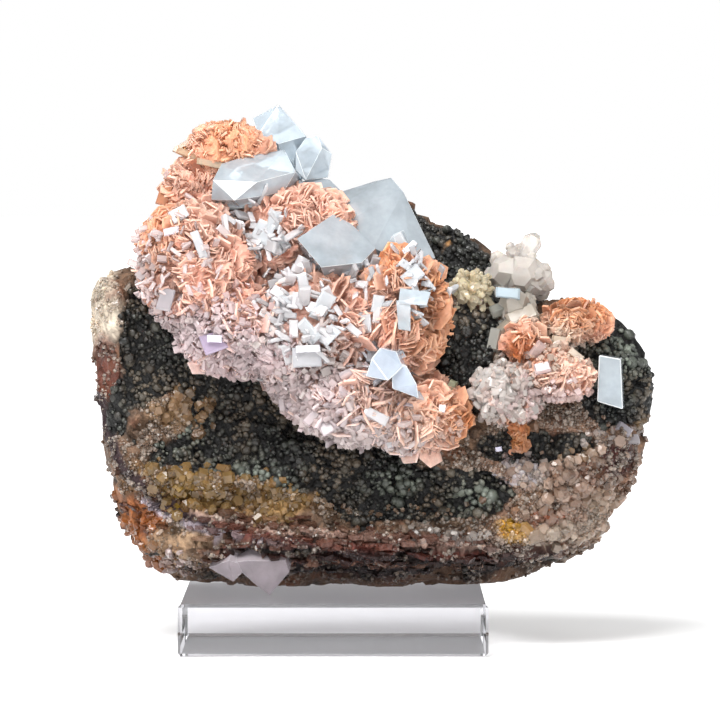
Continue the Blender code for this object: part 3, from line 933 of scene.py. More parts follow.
@dataclass
class BlackCrust:
    """Round lumps of one size range, each most of a ball, set along the rock's surface."""

    name: str
    count: int
    radius: Span
    stand: Span
    seed: int
    clear: float = 2.3

    def make(self, rock: MatrixRock) -> bpy.types.Object:
        """Join the lumps in one mesh, greenish or brownish by zone and with painted shade at their
        feet.
        """
        draw = np.random.default_rng(self.seed)
        count = self.count
        inside = step_up(1.0 - rim_share(rock.points)[0], 0.01, 0.04)
        index = rock.pick(rock.crust ** 3 * inside, count, draw)
        place = rock.points[index]
        outward = unit(rock.normals[index] + 0.35 * random_units(draw, count))
        swell = rough_noise(place, 4.0, Noise.BEAD_ROWS)
        green = most(place, GREEN_BEADS)
        size = skewed(draw, self.radius, count, 1.4) * (1.0 + 0.25 * green)
        rise = self.stand[0] + self.stand[1] * draw.uniform(0, 1, count) ** 2 * (0.6 + green)
        centres = place + outward * (rise + 0.5 * np.maximum(swell, 0.0))[:, None]
        keep_above(centres, REST + self.clear)
        shape = dome_shape()
        sizes = size[:, None] * draw.uniform(0.85, 1.15, (count, 3))
        verts, faces = repeat_shape(shape, centres, turned_frames(outward, draw), sizes)
        dents = 0.3 * rough_noise(verts, 0.8, Noise.BEAD_DENTS, 2)
        verts += spread(outward, shape) * dents[:, None]
        tone = np.clip(green + 0.25 * draw.uniform(-1, 1, count), 0.0, 1.0)
        brown = step_up(rough_noise(place, 12.0, Noise.BEAD_BROWN), -0.2, 0.4) * (1.0 - tone)
        colour = blend(np.array([srgb(40, 39, 36)]), srgb(108, 114, 104), tone)
        colour = blend(colour, srgb(98, 86, 72), 0.75 * brown)
        colour = colour * draw.uniform(0.4, 1.3, count)[:, None]
        tint = spread(with_gloss(colour, draw.uniform(0.22, 0.4, count)), shape)
        # Painted light and shade: each lump is darkest at its foot and a little lighter at its top
        dome_shade = np.clip(0.25 + 0.9 * shape.points[:, 2], 0.08, 1.15)
        tint[:, :3] *= np.tile(dome_shade, count)[:, None]
        return build_mesh(self.name, verts, faces, tint, smooth=True)


@dataclass
class SugaryDruse:
    """Small quartz points that cover the rock where the crust doesn't."""

    count: int = 6800
    radius: Span = (0.25, 0.7)
    seed: int = 12
    clear: float = 1.6
    back: float = 16.0
    places: tuple[tuple[float, Field], ...] = (
        (1.0, (58, 38, 18, 16)), (1.0, (-27, 39, 24, 6)), (0.7, (-38, 58, 8, 7)),
    )

    def make(self, rock: MatrixRock) -> bpy.types.Object:
        """Join the points in one mesh, tinted like the rock under them but paler."""
        draw = np.random.default_rng(self.seed)
        bare = (1.0 - rock.crust) * step_up(self.back - rock.points[:, 1], 0.0, 6.0)
        sugary = sum(strength * spot(rock.points, *place) for strength, place in self.places)
        sugary *= step_up(rock.points[:, 0], -52.0, -46.0)
        bare *= 0.05 + sugary
        bare *= step_up(rough_noise(rock.points, 7.0, Noise.DRUSE_GAPS), -0.4, 0.2)
        bare *= step_up(-rock.normals[:, 1], 0.2, 0.6)
        bare = np.where(bare > 0.02, bare, 0.0)
        index = rock.pick(bare, min(self.count, int(0.7 * np.count_nonzero(bare))), draw)
        count = len(index)
        place = rock.points[index]
        outward = unit(rock.normals[index] + 0.55 * random_units(draw, count))
        size = skewed(draw, self.radius, count, 2.0)
        length = size * draw.uniform(1.6, 2.6, count)
        centres = place - outward * 0.2 * length[:, None]
        keep_above(centres, REST + self.clear)
        shape = quartz_point_shape()
        sizes = np.column_stack([size, size, length])
        verts, faces = repeat_shape(shape, centres, turned_frames(outward, draw), sizes)
        pale = draw.uniform(0.25, 0.9, count) ** 2
        colour = blend(rock.bare_colour(place), srgb(206, 190, 176), pale)
        tint = spread(with_gloss(colour, 0.2), shape)
        return build_mesh("sugary_druse", keep_above(verts), faces, tint)


# The mounds

def lobe_reach(points: Array, lobe: Lobe) -> Array:
    """Distance of each point from a lobe's middle, where the lobe's surface is at 1."""
    centre, half = lobe
    return np.linalg.norm((points - np.array(centre)) / np.array(half), axis=1)


def behind_rock(points: Array) -> Array:
    """Whether each point lies well within the rim and well behind the rock's smooth front."""
    within, behind = 0.98, 2.0
    fraction, rim_depth = rim_share(points)
    swell = swell_at(np.minimum(fraction, 1.0))
    y = rim_depth + (front_depth(points[:, 0], points[:, 2]) - rim_depth) * swell
    return (fraction < within) & (points[:, 1] > y + behind)


def lump_height(points: Array) -> Array:
    """How far the mounds' lumps stand out or sink in at each point."""
    return 2.6 * rough_noise(points, 8.0, Noise.MOUND_LUMPS, 2)


def crevice_shade(points: Array) -> Array:
    """Darken the sunken places between the lumps."""
    return 0.42 + 0.58 * step_up(lump_height(points), -1.5, 0.5)


def lobe_surface(lobes: Lobes, spacing: float, draw: np.random.Generator
                 ) -> tuple[Array, Array]:
    """Even points on the lobes' shared outer surface, with their outward directions.

    Point i of n on a ball has the height 1 - 2 (i + 0.5) / n and the golden angle times i.

    Args:
        lobes: Centres and half sizes.
        spacing: About how far apart the points are.
        draw: The source of the small shifts.

    Returns:
        Points and directions, both of shape (n, 3).
    """
    places, ways = [], []
    jitter, apart = 0.3, 0.97
    golden = math.pi * (3.0 - math.sqrt(5.0))
    for index, lobe in enumerate(lobes):
        centre, half = np.array(lobe[0], float), np.array(lobe[1], float)
        area = 4.0 * math.pi * (np.prod(half) ** (2.0 / 3.0))
        count = int(area / spacing ** 2)
        step = np.arange(count)
        height = 1.0 - 2.0 * (step + 0.5) / count
        ring = np.sqrt(1.0 - height ** 2)
        ball = np.column_stack([ring * np.cos(golden * step), ring * np.sin(golden * step), height])
        ball = unit(ball + draw.normal(0.0, jitter * spacing / half.mean(), ball.shape))
        points = centre + ball * half
        keep = ~behind_rock(points)
        for other, rival in enumerate(lobes):
            if other != index:
                keep &= lobe_reach(points, rival) > apart
        way = unit(ball / half)[keep]
        places.append(points[keep] + way * lump_height(points[keep])[:, None])
        ways.append(way)
    return np.concatenate(places), np.concatenate(ways)


PEACH = srgb(233, 183, 163)
PEACH_DEEP = srgb(182, 98, 70)
# Rows of x, z, half width, half height, screen colour and strength
MOUND_TONES = rows_of(Tone, (
    (25, 84, 8, 14, (226, 158, 112), 0.9), (10, 98, 9, 5, (222, 146, 92), 0.9),
    (18, 57, 14, 8, (240, 196, 168), 0.6), (33, 57, 6, 7, (190, 122, 72), 0.9),
    (-3, 60, 12, 9, (232, 204, 196), 0.8), (-30, 76, 20, 8, (226, 200, 198), 0.9),
    (-12, 66, 12, 8, (222, 198, 196), 0.8), (5, 51, 16, 5, (220, 204, 204), 0.8),
    (-26, 126, 9, 8, (228, 164, 124), 0.9), (-44, 106, 5, 8, (214, 146, 100), 0.6),
    (-26, 93, 8, 8, (236, 186, 166), 0.6),
))
RIGHT_TONES = rows_of(Tone, (
    (62, 84, 12, 6, (216, 142, 94), 1), (55, 78, 7, 3, (238, 218, 196), 0.8),
    (55, 68, 12, 6, (238, 196, 176), 1), (47, 75, 5, 5, (170, 98, 52), 1),
    (42, 62, 7, 6, (214, 196, 190), 0.9), (46, 53, 5, 6, (168, 108, 60), 1),
))


def toned(points: Array, tones: tuple[Tone, ...]) -> Array:
    """Blend the tones over the peach by their distance from each zone's middle."""
    colour = np.tile(np.array(PEACH), (len(points), 1))
    for tone in tones:
        near = np.minimum(1.3 * spot(points, tone.x, tone.z, tone.wide, tone.high), 1.0)
        colour = blend(colour, tone.colour, tone.strength * near)
    return colour


# Where the rosettes give way to clear crystals: x, z, half width, half height
CLEARED = (
    (-8, 82, 9, 10), (-17, 103, 7, 5), (-34, 79, 14, 6), (-19, 72, 12, 5), (-8, 62, 12, 6),
    (6, 52, 16, 4.5), (20, 90, 6, 7), (-46, 92, 4, 10), (6, 92, 9, 6),
)
RIGHT_CLEARED = ((42, 63, 8, 8), (54, 62, 12, 4))


@dataclass
class BladedMound:
    """Lobes covered with thin blades that lean together in rosettes of three sizes.

    For each size: the spacing of the rosettes, the plates in one, their half length, how far
    they fan out, their half thickness, and how deep their foot sits. Rosettes are scarcer in the
    thinned places, smaller in the fine one and larger in the broad one.
    """

    name: str
    lobes: Lobes
    tones: tuple[Tone, ...]
    seed: int
    spacing: tuple[float, ...] = (3.4, 3.3, 2.9)
    plates: tuple[int, ...] = (3, 10, 3)
    length: tuple[float, ...] = (2.6, 1.8, 1.2)
    fan: tuple[float, ...] = (0.9, 0.6, 0.9)
    thickness: tuple[float, ...] = (0.24, 0.12, 0.12)
    sink: tuple[float, ...] = (2.0, 1.35, 0.9)
    thinned: Fields = ()
    fine: Field = (-27, 124, 12, 10)
    broad: Field = (20, 66, 18, 34)
    core_grid: tuple[int, int] = (66, 112)
    cleared_share: float = 0.8
    growth_spread: float = 0.8
    plate_jitter: float = 0.28

    def core(self) -> bpy.types.Object:
        """The ground under the blades: each lobe a ball pushed in and out by noise."""
        rows, columns = self.core_grid
        angle = np.linspace(0.04, math.pi - 0.04, rows)
        turn = np.linspace(0, 2 * math.pi, columns, endpoint=False)
        height, around = np.meshgrid(angle, turn, indexing="ij")
        ball = np.stack([np.sin(height) * np.cos(around), np.sin(height) * np.sin(around),
                         -np.cos(height)], axis=-1).reshape(-1, 3)
        ring = np.arange(columns)
        faces = [grid_faces(rows, columns), np.stack([ring[::-1], ring + (rows - 1) * columns])]
        parts = []
        for centre, half in self.lobes:
            points = np.array(centre) + ball * np.array(half)
            lift = (lump_height(points) - 0.7 + 2.2 * facet_relief(points, 4.6, self.seed)
                    + 0.9 * facet_relief(points, 2.0, self.seed + 5)
                    + 0.5 * rough_noise(points, 1.6, self.seed + 9))
            points += ball * lift[:, None]
            parts.append((points, faces, self.core_tint(points)))
        return build_mesh(f"{self.name}_core", *join(parts))

    def core_tint(self, points: Array) -> Array:
        """The ground's tint: the tones, mottled with the deep peach, with painted shade in the
        crevices.
        """
        mottle = step_up(rough_noise(points, 3.0, self.seed + 13), -0.4, 0.4)[:, None]
        colour = (toned(points, self.tones) * (0.6 + 0.35 * mottle)
                  + np.array(PEACH_DEEP) * 0.3 * (1.0 - mottle))
        return with_gloss(colour * crevice_shade(points)[:, None], 0.5)

    def rosettes(self, layer: int, draw: np.random.Generator) -> tuple[Array, list[Array], Array]:
        """One size of rosettes: each a fan of plates that grow from one foot.

        Args:
            layer: Which of the sizes.
            draw: The source of the turns and shifts.

        Returns:
            Points, faces by number of corners, and the tint of the points.
        """
        foot, outward = lobe_surface(self.lobes, self.spacing[layer], draw)
        cleared = most(foot, self.thinned) * (outward[:, 1] < 0.2)
        kept = draw.uniform(0, 1, len(foot)) > self.cleared_share * cleared
        foot, outward = foot[kept], outward[kept]
        count, plates = len(foot), self.plates[layer]
        scale = draw.uniform(0.75, 1.25, count) * (1.0 - 0.45 * spot(foot, *self.fine))
        scale *= 1.0 + 0.2 * np.minimum(1.5 * spot(foot, *self.broad), 1.0)
        side = turned_frames(outward, draw)[:, 0]
        growth = unit(outward + self.growth_spread * random_units(draw, count))
        side = unit(side - growth * np.sum(side * growth, axis=1)[:, None])
        share = np.linspace(-1.0, 1.0, plates)[None, :, None]
        lean = share * self.fan[layer] * draw.uniform(0.35, 1.3, (count, 1, 1))
        jitter = draw.normal(0.0, self.plate_jitter, (count, plates, 3))
        way = unit(growth[:, None, :] + side[:, None, :] * lean + jitter)
        face = side[:, None, :] - growth[:, None, :] * lean + draw.normal(0, 0.2, jitter.shape)
        face = unit(face - way * np.sum(face * way, axis=2, keepdims=True))
        axes = np.stack([np.cross(way, face), way, face], axis=2).reshape(-1, 3, 3)
        length = (self.length[layer] * scale[:, None]
                  * draw.uniform(0.62, 1.0, (count, plates))).reshape(-1)
        base = np.repeat(foot - outward * self.sink[layer], plates, axis=0)
        step = (side[:, None, :] * (share + draw.normal(0, 0.05, (count, plates, 1)))
                * 0.62 * self.length[layer] * scale[:, None, None]).reshape(-1, 3)
        centres = base + step + way.reshape(-1, 3) * (0.55 * length)[:, None]
        total = count * plates
        sizes = np.column_stack([length * draw.uniform(0.7, 1.35, total), length,
                                 self.thickness[layer] * draw.uniform(0.6, 1.3, total)])
        shape = blade_shape()
        verts, faces = repeat_shape(shape, centres, axes, sizes)
        tone = draw.uniform(0.82, 1.12, (count, 1)) * draw.uniform(0.88, 1.1, (count, plates))
        ground = toned(foot, self.tones) * crevice_shade(foot)[:, None]
        colour = np.repeat(ground, plates, axis=0) * tone.reshape(-1, 1)
        pale = np.repeat(draw.uniform(0, 0.35, count) ** 1.3, plates)
        colour = spread(blend(colour, srgb(240, 208, 190), pale), shape)
        # Painted shade: each blade darkens into the deep peach towards its foot, among the other
        # blades
        deep = step_up(0.2 - np.tile(shape.points[:, 1], total), 0.0, 1.1)[:, None]
        colour = colour * (1 - 0.75 * deep) + np.array(PEACH_DEEP) * 0.45 * deep
        return verts, faces, with_gloss(colour, 0.42)

    def blades(self) -> bpy.types.Object:
        """Join all sizes of rosettes in one mesh."""
        draw = np.random.default_rng(self.seed)
        parts = [self.rosettes(layer, draw) for layer in range(len(self.spacing))]
        verts, faces, tint = join(parts)
        return build_mesh(self.name, keep_above(verts), faces, tint)


@dataclass(frozen=True)
class Zone:
    """Where small crystals grow: middle, half sizes, count, half length and colour."""

    x: float
    z: float
    wide: float
    high: float
    count: int
    length: Span
    colour: Colour = srgb(236, 234, 236)


# Rows of x, z, half width, half height, count, range of half lengths and screen colour
TAB_ZONES = rows_of(Zone, (
    (-8, 82, 10, 11, 80, (1.4, 2.9)), (-17, 103, 8, 6, 40, (1.5, 3)),
    (-36, 97, 11, 12, 50, (1, 2), (230, 214, 212)), (12, 70, 8, 7, 36, (1, 2.2), (224, 224, 228)),
    (20, 90, 7, 9, 36, (1.2, 2.4), (228, 230, 234)), (6, 92, 12, 8, 40, (1, 2)),
    (2, 58, 14, 6, 40, (1, 2.2), (222, 208, 210)),
))
FRINGE_ZONES = rows_of(Zone, (
    (-34, 80, 14, 7, 330, (0.5, 1.3), (232, 214, 216)),
    (-20, 73, 12, 6, 330, (0.5, 1.3), (228, 208, 210)),
    (-8, 63, 12, 7, 420, (0.5, 1.4), (236, 218, 218)),
    (6, 53, 15, 5, 420, (0.5, 1.4), (240, 226, 224)),
    (-8, 76, 12, 9, 160, (0.5, 1.3), (240, 228, 224)),
    (-46, 92, 5, 12, 90, (0.5, 1.3), (236, 222, 222)),
    (20, 54, 10, 4, 120, (0.5, 1.1), (220, 190, 176)),
))
RIGHT_FRINGE_ZONES = rows_of(Zone, (
    (42, 64, 8, 7, 170, (0.6, 1.5), (228, 220, 214)),
    (53, 62, 10, 4, 190, (0.5, 1.2), (234, 212, 210)),
    (57, 74, 8, 4, 60, (0.5, 1), (228, 208, 192)),
))
ROCK_CHUNK_ZONES = rows_of(Zone, (
    (60, 40, 14, 11, 260, (0.6, 1.9), (186, 160, 142)),
    (56.5, 28, 6, 2.6, 60, (0.8, 1.8), (198, 180, 162)),
    (46, 44, 5, 4, 60, (0.5, 1.3), (188, 180, 184)),
    (33, 27.5, 5, 2, 34, (0.6, 1.4), (190, 180, 172)),
    (21, 29, 3, 2, 20, (0.6, 1.3), (190, 180, 172)),
    (-35, 39, 9, 4.5, 120, (0.7, 1.9), (150, 120, 76)),
    (-37, 38.5, 5, 2.5, 26, (0.7, 1.6), (178, 142, 54)),
    (-15, 37, 8, 4, 90, (0.7, 1.6), (150, 120, 78)),
    (-38.5, 59, 6, 5, 60, (0.8, 2), (146, 116, 86)),
    (-47, 53, 2.5, 3, 16, (0.6, 1.2), (205, 186, 170)),
    (-48, 26, 6, 8, 90, (0.7, 1.6), (158, 96, 52)),
    (-40, 19, 9, 3, 60, (0.6, 1.4), (206, 186, 182)),
    (8, 33, 26, 4, 60, (0.5, 1.1), (150, 130, 112)),
    (70, 52, 7, 4, 40, (0.6, 1.4), (190, 178, 172)),
    (45, 30, 3, 2, 12, (0.6, 1.3), (160, 124, 50)),
))


class Stand(Enum):
    """How small crystals stand on their ground."""

    RANDOM = "turned every way"
    BEDDED = "flat along the beds"


@dataclass
class ZoneScatter:
    """Small crystals of one shape scattered in zones over the front of a surface.

    Width and thickness are shares of a crystal's half length. It rises by a fixed measure and by
    a share of its half length. Some of its ground's colour is mixed in.
    """

    name: str
    shape: Shape
    zones: tuple[Zone, ...]
    seed: int
    wide: Span
    thick: Span
    raised: float = 0.55
    rise: float = 0.2
    mixed: float = 0.0
    shaded: bool = True
    stand: Stand = Stand.RANDOM
    facing: float = 0.25
    back: float = 16.0

    def make(self, place: Array, outward: Array, area: Array, ground: Array) -> bpy.types.Object:
        """Draw each zone's places from the surface and set a crystal on each.

        Args:
            place: Points of the surface.
            outward: Its outward directions.
            area: The area around each point, in any unit.
            ground: Its colour at each point.

        Returns:
            The joined crystals.
        """
        draw = np.random.default_rng(self.seed)
        front = (outward[:, 1] < self.facing) & (place[:, 1] < self.back)
        place, outward, weight, ground = place[front], outward[front], area[front], ground[front]
        picked, sizes, colours = [], [], []
        for zone in self.zones:
            chance = spot(place, zone.x, zone.z, zone.wide, zone.high) ** 1.5 * weight + 1e-9
            index = draw.choice(len(place), zone.count, replace=False, p=chance / chance.sum())
            length = skewed(draw, zone.length, zone.count, 1.6)
            picked.append(index)
            sizes.append(np.column_stack([length * draw.uniform(*self.wide, zone.count), length,
                                          length * draw.uniform(*self.thick, zone.count)]))
            colours.append(np.tile(np.array(zone.colour), (zone.count, 1)))
        index = np.concatenate(picked)
        size = np.concatenate(sizes)
        count = len(index)
        colour = np.concatenate(colours) * draw.uniform(0.75, 1.2, count)[:, None]
        if self.shaded:
            colour *= crevice_shade(place[index])[:, None] ** 0.6
        colour = blend(colour, ground[index], self.mixed * draw.uniform(0, 1, count))
        facing = unit(random_units(draw, count) + 0.35 * outward[index])
        if self.stand is Stand.BEDDED:
            facing = unit(np.array([0.08, -0.25, 1.0]) + 0.22 * random_units(draw, count))
        axes = turned_frames(facing, draw)
        lean = np.abs(np.sum(axes[:, 1] * outward[index], axis=1))
        rise = self.rise + self.raised * size[:, 1] * lean
        centres = place[index] + outward[index] * rise[:, None]
        verts, faces = repeat_shape(self.shape, centres, axes, size)
        tint = spread(with_gloss(colour, 0.12), self.shape)
        return build_mesh(self.name, keep_above(verts), faces, tint)


# Thin dark flakes along the lower beds, in the same form as the other zones
FLAKE_ZONES = rows_of(Zone, (
    (-22, 30, 20, 2.5, 80, (0.9, 2.2), (84, 54, 44)),
    (10, 27, 26, 2, 90, (0.9, 2.2), (92, 62, 52)), (10, 23, 30, 2, 110, (0.9, 2.2), (44, 27, 24)),
    (30, 20, 22, 2, 90, (0.9, 2), (32, 22, 20)), (-10, 20, 22, 2, 70, (0.8, 1.8), (70, 42, 34)),
    (8, 18, 30, 1.6, 70, (0.7, 1.6), (46, 34, 32)), (-47, 34, 8, 3, 40, (0.8, 1.6), (46, 32, 36)),
))


@dataclass(frozen=True)
class Tab:
    """One clear tablet seen from the front: place, half sizes, turn and swing in degrees."""

    x: float
    z: float
    length: float
    wide: float
    turn: float
    swing: float
    colour: Colour = srgb(226, 230, 234)
    thick: float = 0.45
    out: float = 1.9


# Rows of x, z, half length, half width, turn, swing, screen colour, half thickness and way out
SINGLE_TABS = rows_of(Tab, (
    (-23.8, 110.6, 6.6, 1.5, 5, 10, (236, 238, 240), 0.8, 2.6), (-17.5, 103.5, 2.7, 2.4, 62, 25),
    (-13.5, 100, 2.6, 2.2, 35, -30), (-20.5, 99, 2.4, 1.9, -20, 35),
    (-14.8, 106.5, 2.4, 1.6, 80, -20), (-33, 100.6, 3.6, 1.1, 112, 20),
    # Painted highlight: the small white tab at (-40, 103.9) stands for a glint on the clear
    # crystals there
    (-40, 103.9, 1.9, 0.9, 12, 0, (240, 236, 244)), (-38.2, 108, 2.2, 1.8, 30, 30),
    (-29.5, 76.6, 3, 2.5, 20, 15, (196, 180, 204)),
    # Painted highlight: the thin white tab at (-29.2, 77.4) is the bright spot on the lilac tablet
    # behind it
    (-29.2, 77.4, 1.9, 0.9, 0, -10, (244, 238, 250), 0.4, 2.8), (-12.4, 85, 3.2, 2.2, 75, 30),
    (-7.2, 90.5, 3, 1.3, 102, 10), (-2.6, 85.5, 3.6, 2.1, 60, -25), (-6, 79.5, 3.2, 1.9, 130, 35),
    (-6.5, 73, 3.5, 2.4, 3, 8, (206, 206, 210)),
    # Painted highlight: the thin white tab at (-6.2, 75.2) lights the top of the tab behind it
    (-6.2, 75.2, 3, 0.8, 2, 0, (248, 248, 252), 0.5, 2.7), (-1, 78.5, 2.6, 1.7, 45, 30),
    (16.6, 100.8, 2.5, 1.5, 118, 15), (19.6, 93, 2.6, 1.8, 40, 20), (11, 86, 2.2, 1.4, 80, 0),
    (8, 81, 2.3, 1.5, 95, 30), (10.8, 83.4, 2.1, 0.9, 85, 5, (240, 236, 236)),
    (4.5, 94.5, 2.8, 1.6, 50, 20), (10.5, 58.5, 3.2, 1.3, -28, 15, (236, 236, 240)),
    (13.6, 54, 3.6, 1.3, 110, 20, (232, 230, 234)), (-1, 56, 2.6, 1.8, 30, 25, (222, 210, 214)),
    (19, 49.5, 2.4, 1.7, 60, 30, (222, 208, 210)),
    (-11, 60.5, 2.4, 1.7, -30, 30, (206, 190, 200)), (-41.5, 87, 2.8, 2, 75, 25, (190, 184, 188)),
    (-36, 122.6, 4.4, 0.9, -24, 20, (196, 164, 132), 0.8, 1.2),
    (-30.5, 120.4, 4, 0.8, -12, 10, (206, 182, 154), 0.8, 1.6),
    (-37, 125.4, 3.2, 0.8, 30, 25, (170, 124, 84), 0.7, 1),
    (-34, 118.6, 3, 1.3, -60, 30, (176, 110, 84), 0.8, 0.6),
    (-42.5, 112.5, 2.6, 1.6, 70, 35, (206, 146, 112), 0.7, 1),
))


# Clear and cream blocks between and on the right mound's lobes
RIGHT_BLOCKS = rows_of(Tab, (
    (43.3, 88.4, 3, 1.3, -5, 15, (198, 214, 224), 0.9, 3.5),
    (47, 82.4, 4, 1.9, 22, 25, (196, 184, 168), 1.8, 2),
    (43.6, 79.9, 3, 1.8, 46, -25, (178, 168, 152), 1.6, 1.6),
    (41, 84, 2, 1.4, 20, 50, (150, 150, 142), 1.2, 0.4),
    (40.2, 76.8, 2.8, 1.4, 78, 20, (176, 174, 166), 1.3, 2.4),
    (38.6, 73.4, 1.9, 1.3, 60, -20, (166, 168, 162), 1.2, 2),
    (36.6, 68.4, 1.7, 1.2, 70, 25, (196, 198, 196), 1, 2),
    (29.4, 65.4, 1.5, 1, 60, 20, (176, 178, 150), 0.9, 6),
    (41, 49.8, 0.9, 0.6, 10, 10, (216, 214, 232), 0.6, 8),
    (56.5, 76.4, 2.2, 1, -8, 20, (232, 210, 186), 1.2, 3.5),
    (60, 73, 2, 1, -40, 20, (236, 218, 200), 1.2, 2.5),
    (50.5, 74.6, 2.2, 1.2, 50, -30, (216, 190, 184), 1, 1.6),
    (51.6, 70, 2, 1.3, 10, 30, (226, 206, 206), 1, 1.4),
    (72.5, 54, 2, 1.2, -35, 30, (186, 180, 188), 1, -2),
    (75, 51.5, 1.5, 1, 10, 30, (180, 174, 178), 1, -4),
))


def front_of(lobes: Lobes, x: Array, z: Array) -> Array:
    """Depth of the lobes' front at each place, of a near lobe's middle, or a fixed one."""
    margin, beside = -0.35, -12.0
    nearest = np.full(x.shape, np.inf)
    for centre, half in lobes:
        left = 1.0 - ((x - centre[0]) / half[0]) ** 2 - ((z - centre[2]) / half[2]) ** 2
        depth = centre[1] - half[1] * np.sqrt(np.maximum(left, 0.0))
        nearest = np.where(left > margin, np.minimum(nearest, depth), nearest)
    return np.where(np.isinf(nearest), beside, nearest)


@dataclass
class SingleTabs:
    """The clear tablets that stand out one by one, and a few thin white ones that are painted
    highlights.
    """

    name: str
    tabs: tuple[Tab, ...]
    lobes: Lobes

    def make(self) -> bpy.types.Object:
        """Set each tab before the lobes' front, turned as seen and swung about its length."""
        x, z, out, turn, swing = np.array([(tab.x, tab.z, tab.out, math.radians(tab.turn),
                                            math.radians(tab.swing)) for tab in self.tabs]).T
        y = front_of(self.lobes, x, z) - out
        along = unit(np.column_stack([np.cos(turn), 0.25 * np.sin(swing), np.sin(turn)]))
        toward = np.column_stack([np.sin(swing) * -np.sin(turn), -np.cos(swing),
                                  np.sin(swing) * np.cos(turn)])
        toward = unit(toward - along * np.sum(toward * along, axis=1)[:, None])
        axes = np.stack([np.cross(along, toward), along, toward], axis=1)
        sizes = np.array([[2.0 * tab.wide, tab.length, tab.thick] for tab in self.tabs])
        shape = tablet_shape()
        verts, faces = repeat_shape(shape, np.column_stack([x, y, z]), axes, sizes)
        verts += 0.3 * rough_vectors(verts, 1.7, Noise.BENT_TABS, 2)
        tint = spread(with_gloss(np.array([tab.colour for tab in self.tabs]), 0.08), shape)
        return build_mesh(self.name, verts, faces, tint)


# Quartz clusters

@dataclass
class QuartzCluster:
    """Stubby six-sided crystals crowded around one spot, in two sizes."""

    node: str
    centre: Place
    half: Place
    radius: float
    count: int
    large: int
    colour: Colour
    seed: int

    def make(self) -> bpy.types.Object:
        """Join the crystals in one mesh: large ones in the middle, small ones all over."""
        draw = np.random.default_rng(self.seed)
        ways = random_units(draw, self.count)
        ways[:, 1] = -np.abs(ways[:, 1]) * 0.8 + 0.15
        ways = unit(ways)
        big = np.arange(self.count) < self.large
        place = ways * np.where(big, draw.uniform(0.2, 0.45, self.count),
                                draw.uniform(0.55, 0.85, self.count))[:, None]
        centres = np.array(self.centre) + place * np.array(self.half)
        width = self.radius * np.where(big, draw.uniform(0.6, 1.0, self.count),
                                       draw.uniform(0.25, 0.5, self.count))
        length = width * draw.uniform(1.0, 1.7, self.count)
        shape = stubby_shape()
        sizes = np.column_stack([width, width * draw.uniform(0.7, 1.0, self.count), length])
        lean = unit(ways + 0.6 * random_units(draw, self.count))
        verts, faces = repeat_shape(shape, centres, turned_frames(lean, draw), sizes)
        colour = np.array(self.colour) * draw.uniform(0.8, 1.1, self.count)[:, None]
        tint = spread(with_gloss(colour, 0.12), shape)
        return build_mesh(f"{self.node}_points", verts, faces, tint)


QUARTZ_CLUSTERS = (
    QuartzCluster("quartz_cluster", (47, 2, 93.3), (8.5, 6.5, 7.8), 5.6, 34, 9,
                  srgb(240, 232, 224), 51),
    QuartzCluster("quartz_rosette", (34.5, -9, 88.5), (6.8, 5.8, 6.8), 2.3, 96, 30,
                  srgb(238, 224, 192), 52),
    QuartzCluster("quartz_step", (45.5, -9, 82), (7.5, 6, 6.5), 4.2, 24, 8,
                  srgb(206, 198, 186), 53),
    QuartzCluster("quartz_right", (41, -20, 65), (7, 5.5, 8), 2.8, 70, 22,
                  srgb(228, 220, 214), 54),
)


# Large crystals

@dataclass
class CutCrystals:
    """Flat-faced crystals: a copy of the solid, its doubles merged and its edges eased."""

    node: str
    edge: float = 0.26
    merge: float = 0.01
    flat_angle: float = 2.0
    edge_angle: float = 20.0

    def make(self) -> bpy.types.Object:
        """Copy the solid's mesh, merge it into flat faces and bevel the edges between them.

        Returns:
            The crystals, whose bevelled edges take the second material, a painted highlight.
        """
        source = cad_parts[self.node].data
        bm = bmesh.new()
        bm.from_mesh(source)
        bmesh.ops.remove_doubles(bm, verts=bm.verts, dist=self.merge * MM)
        bmesh.ops.dissolve_limit(bm, angle_limit=math.radians(self.flat_angle), verts=bm.verts,
                                 edges=bm.edges)
        mesh = bpy.data.meshes.new(f"{self.node}_cut")
        bm.to_mesh(mesh)
        bm.free()
        made = bpy.data.objects.new(f"{self.node}_cut", mesh)
        bpy.context.scene.collection.objects.link(made)
        ease = made.modifiers.new("eased_edges", "BEVEL")
        ease.width = self.edge * MM
        ease.segments = 1
        ease.limit_method = "ANGLE"
        ease.angle_limit = math.radians(self.edge_angle)
        # The bevels take the painted highlight of the second material
        ease.material = 1
        return made


# Stage

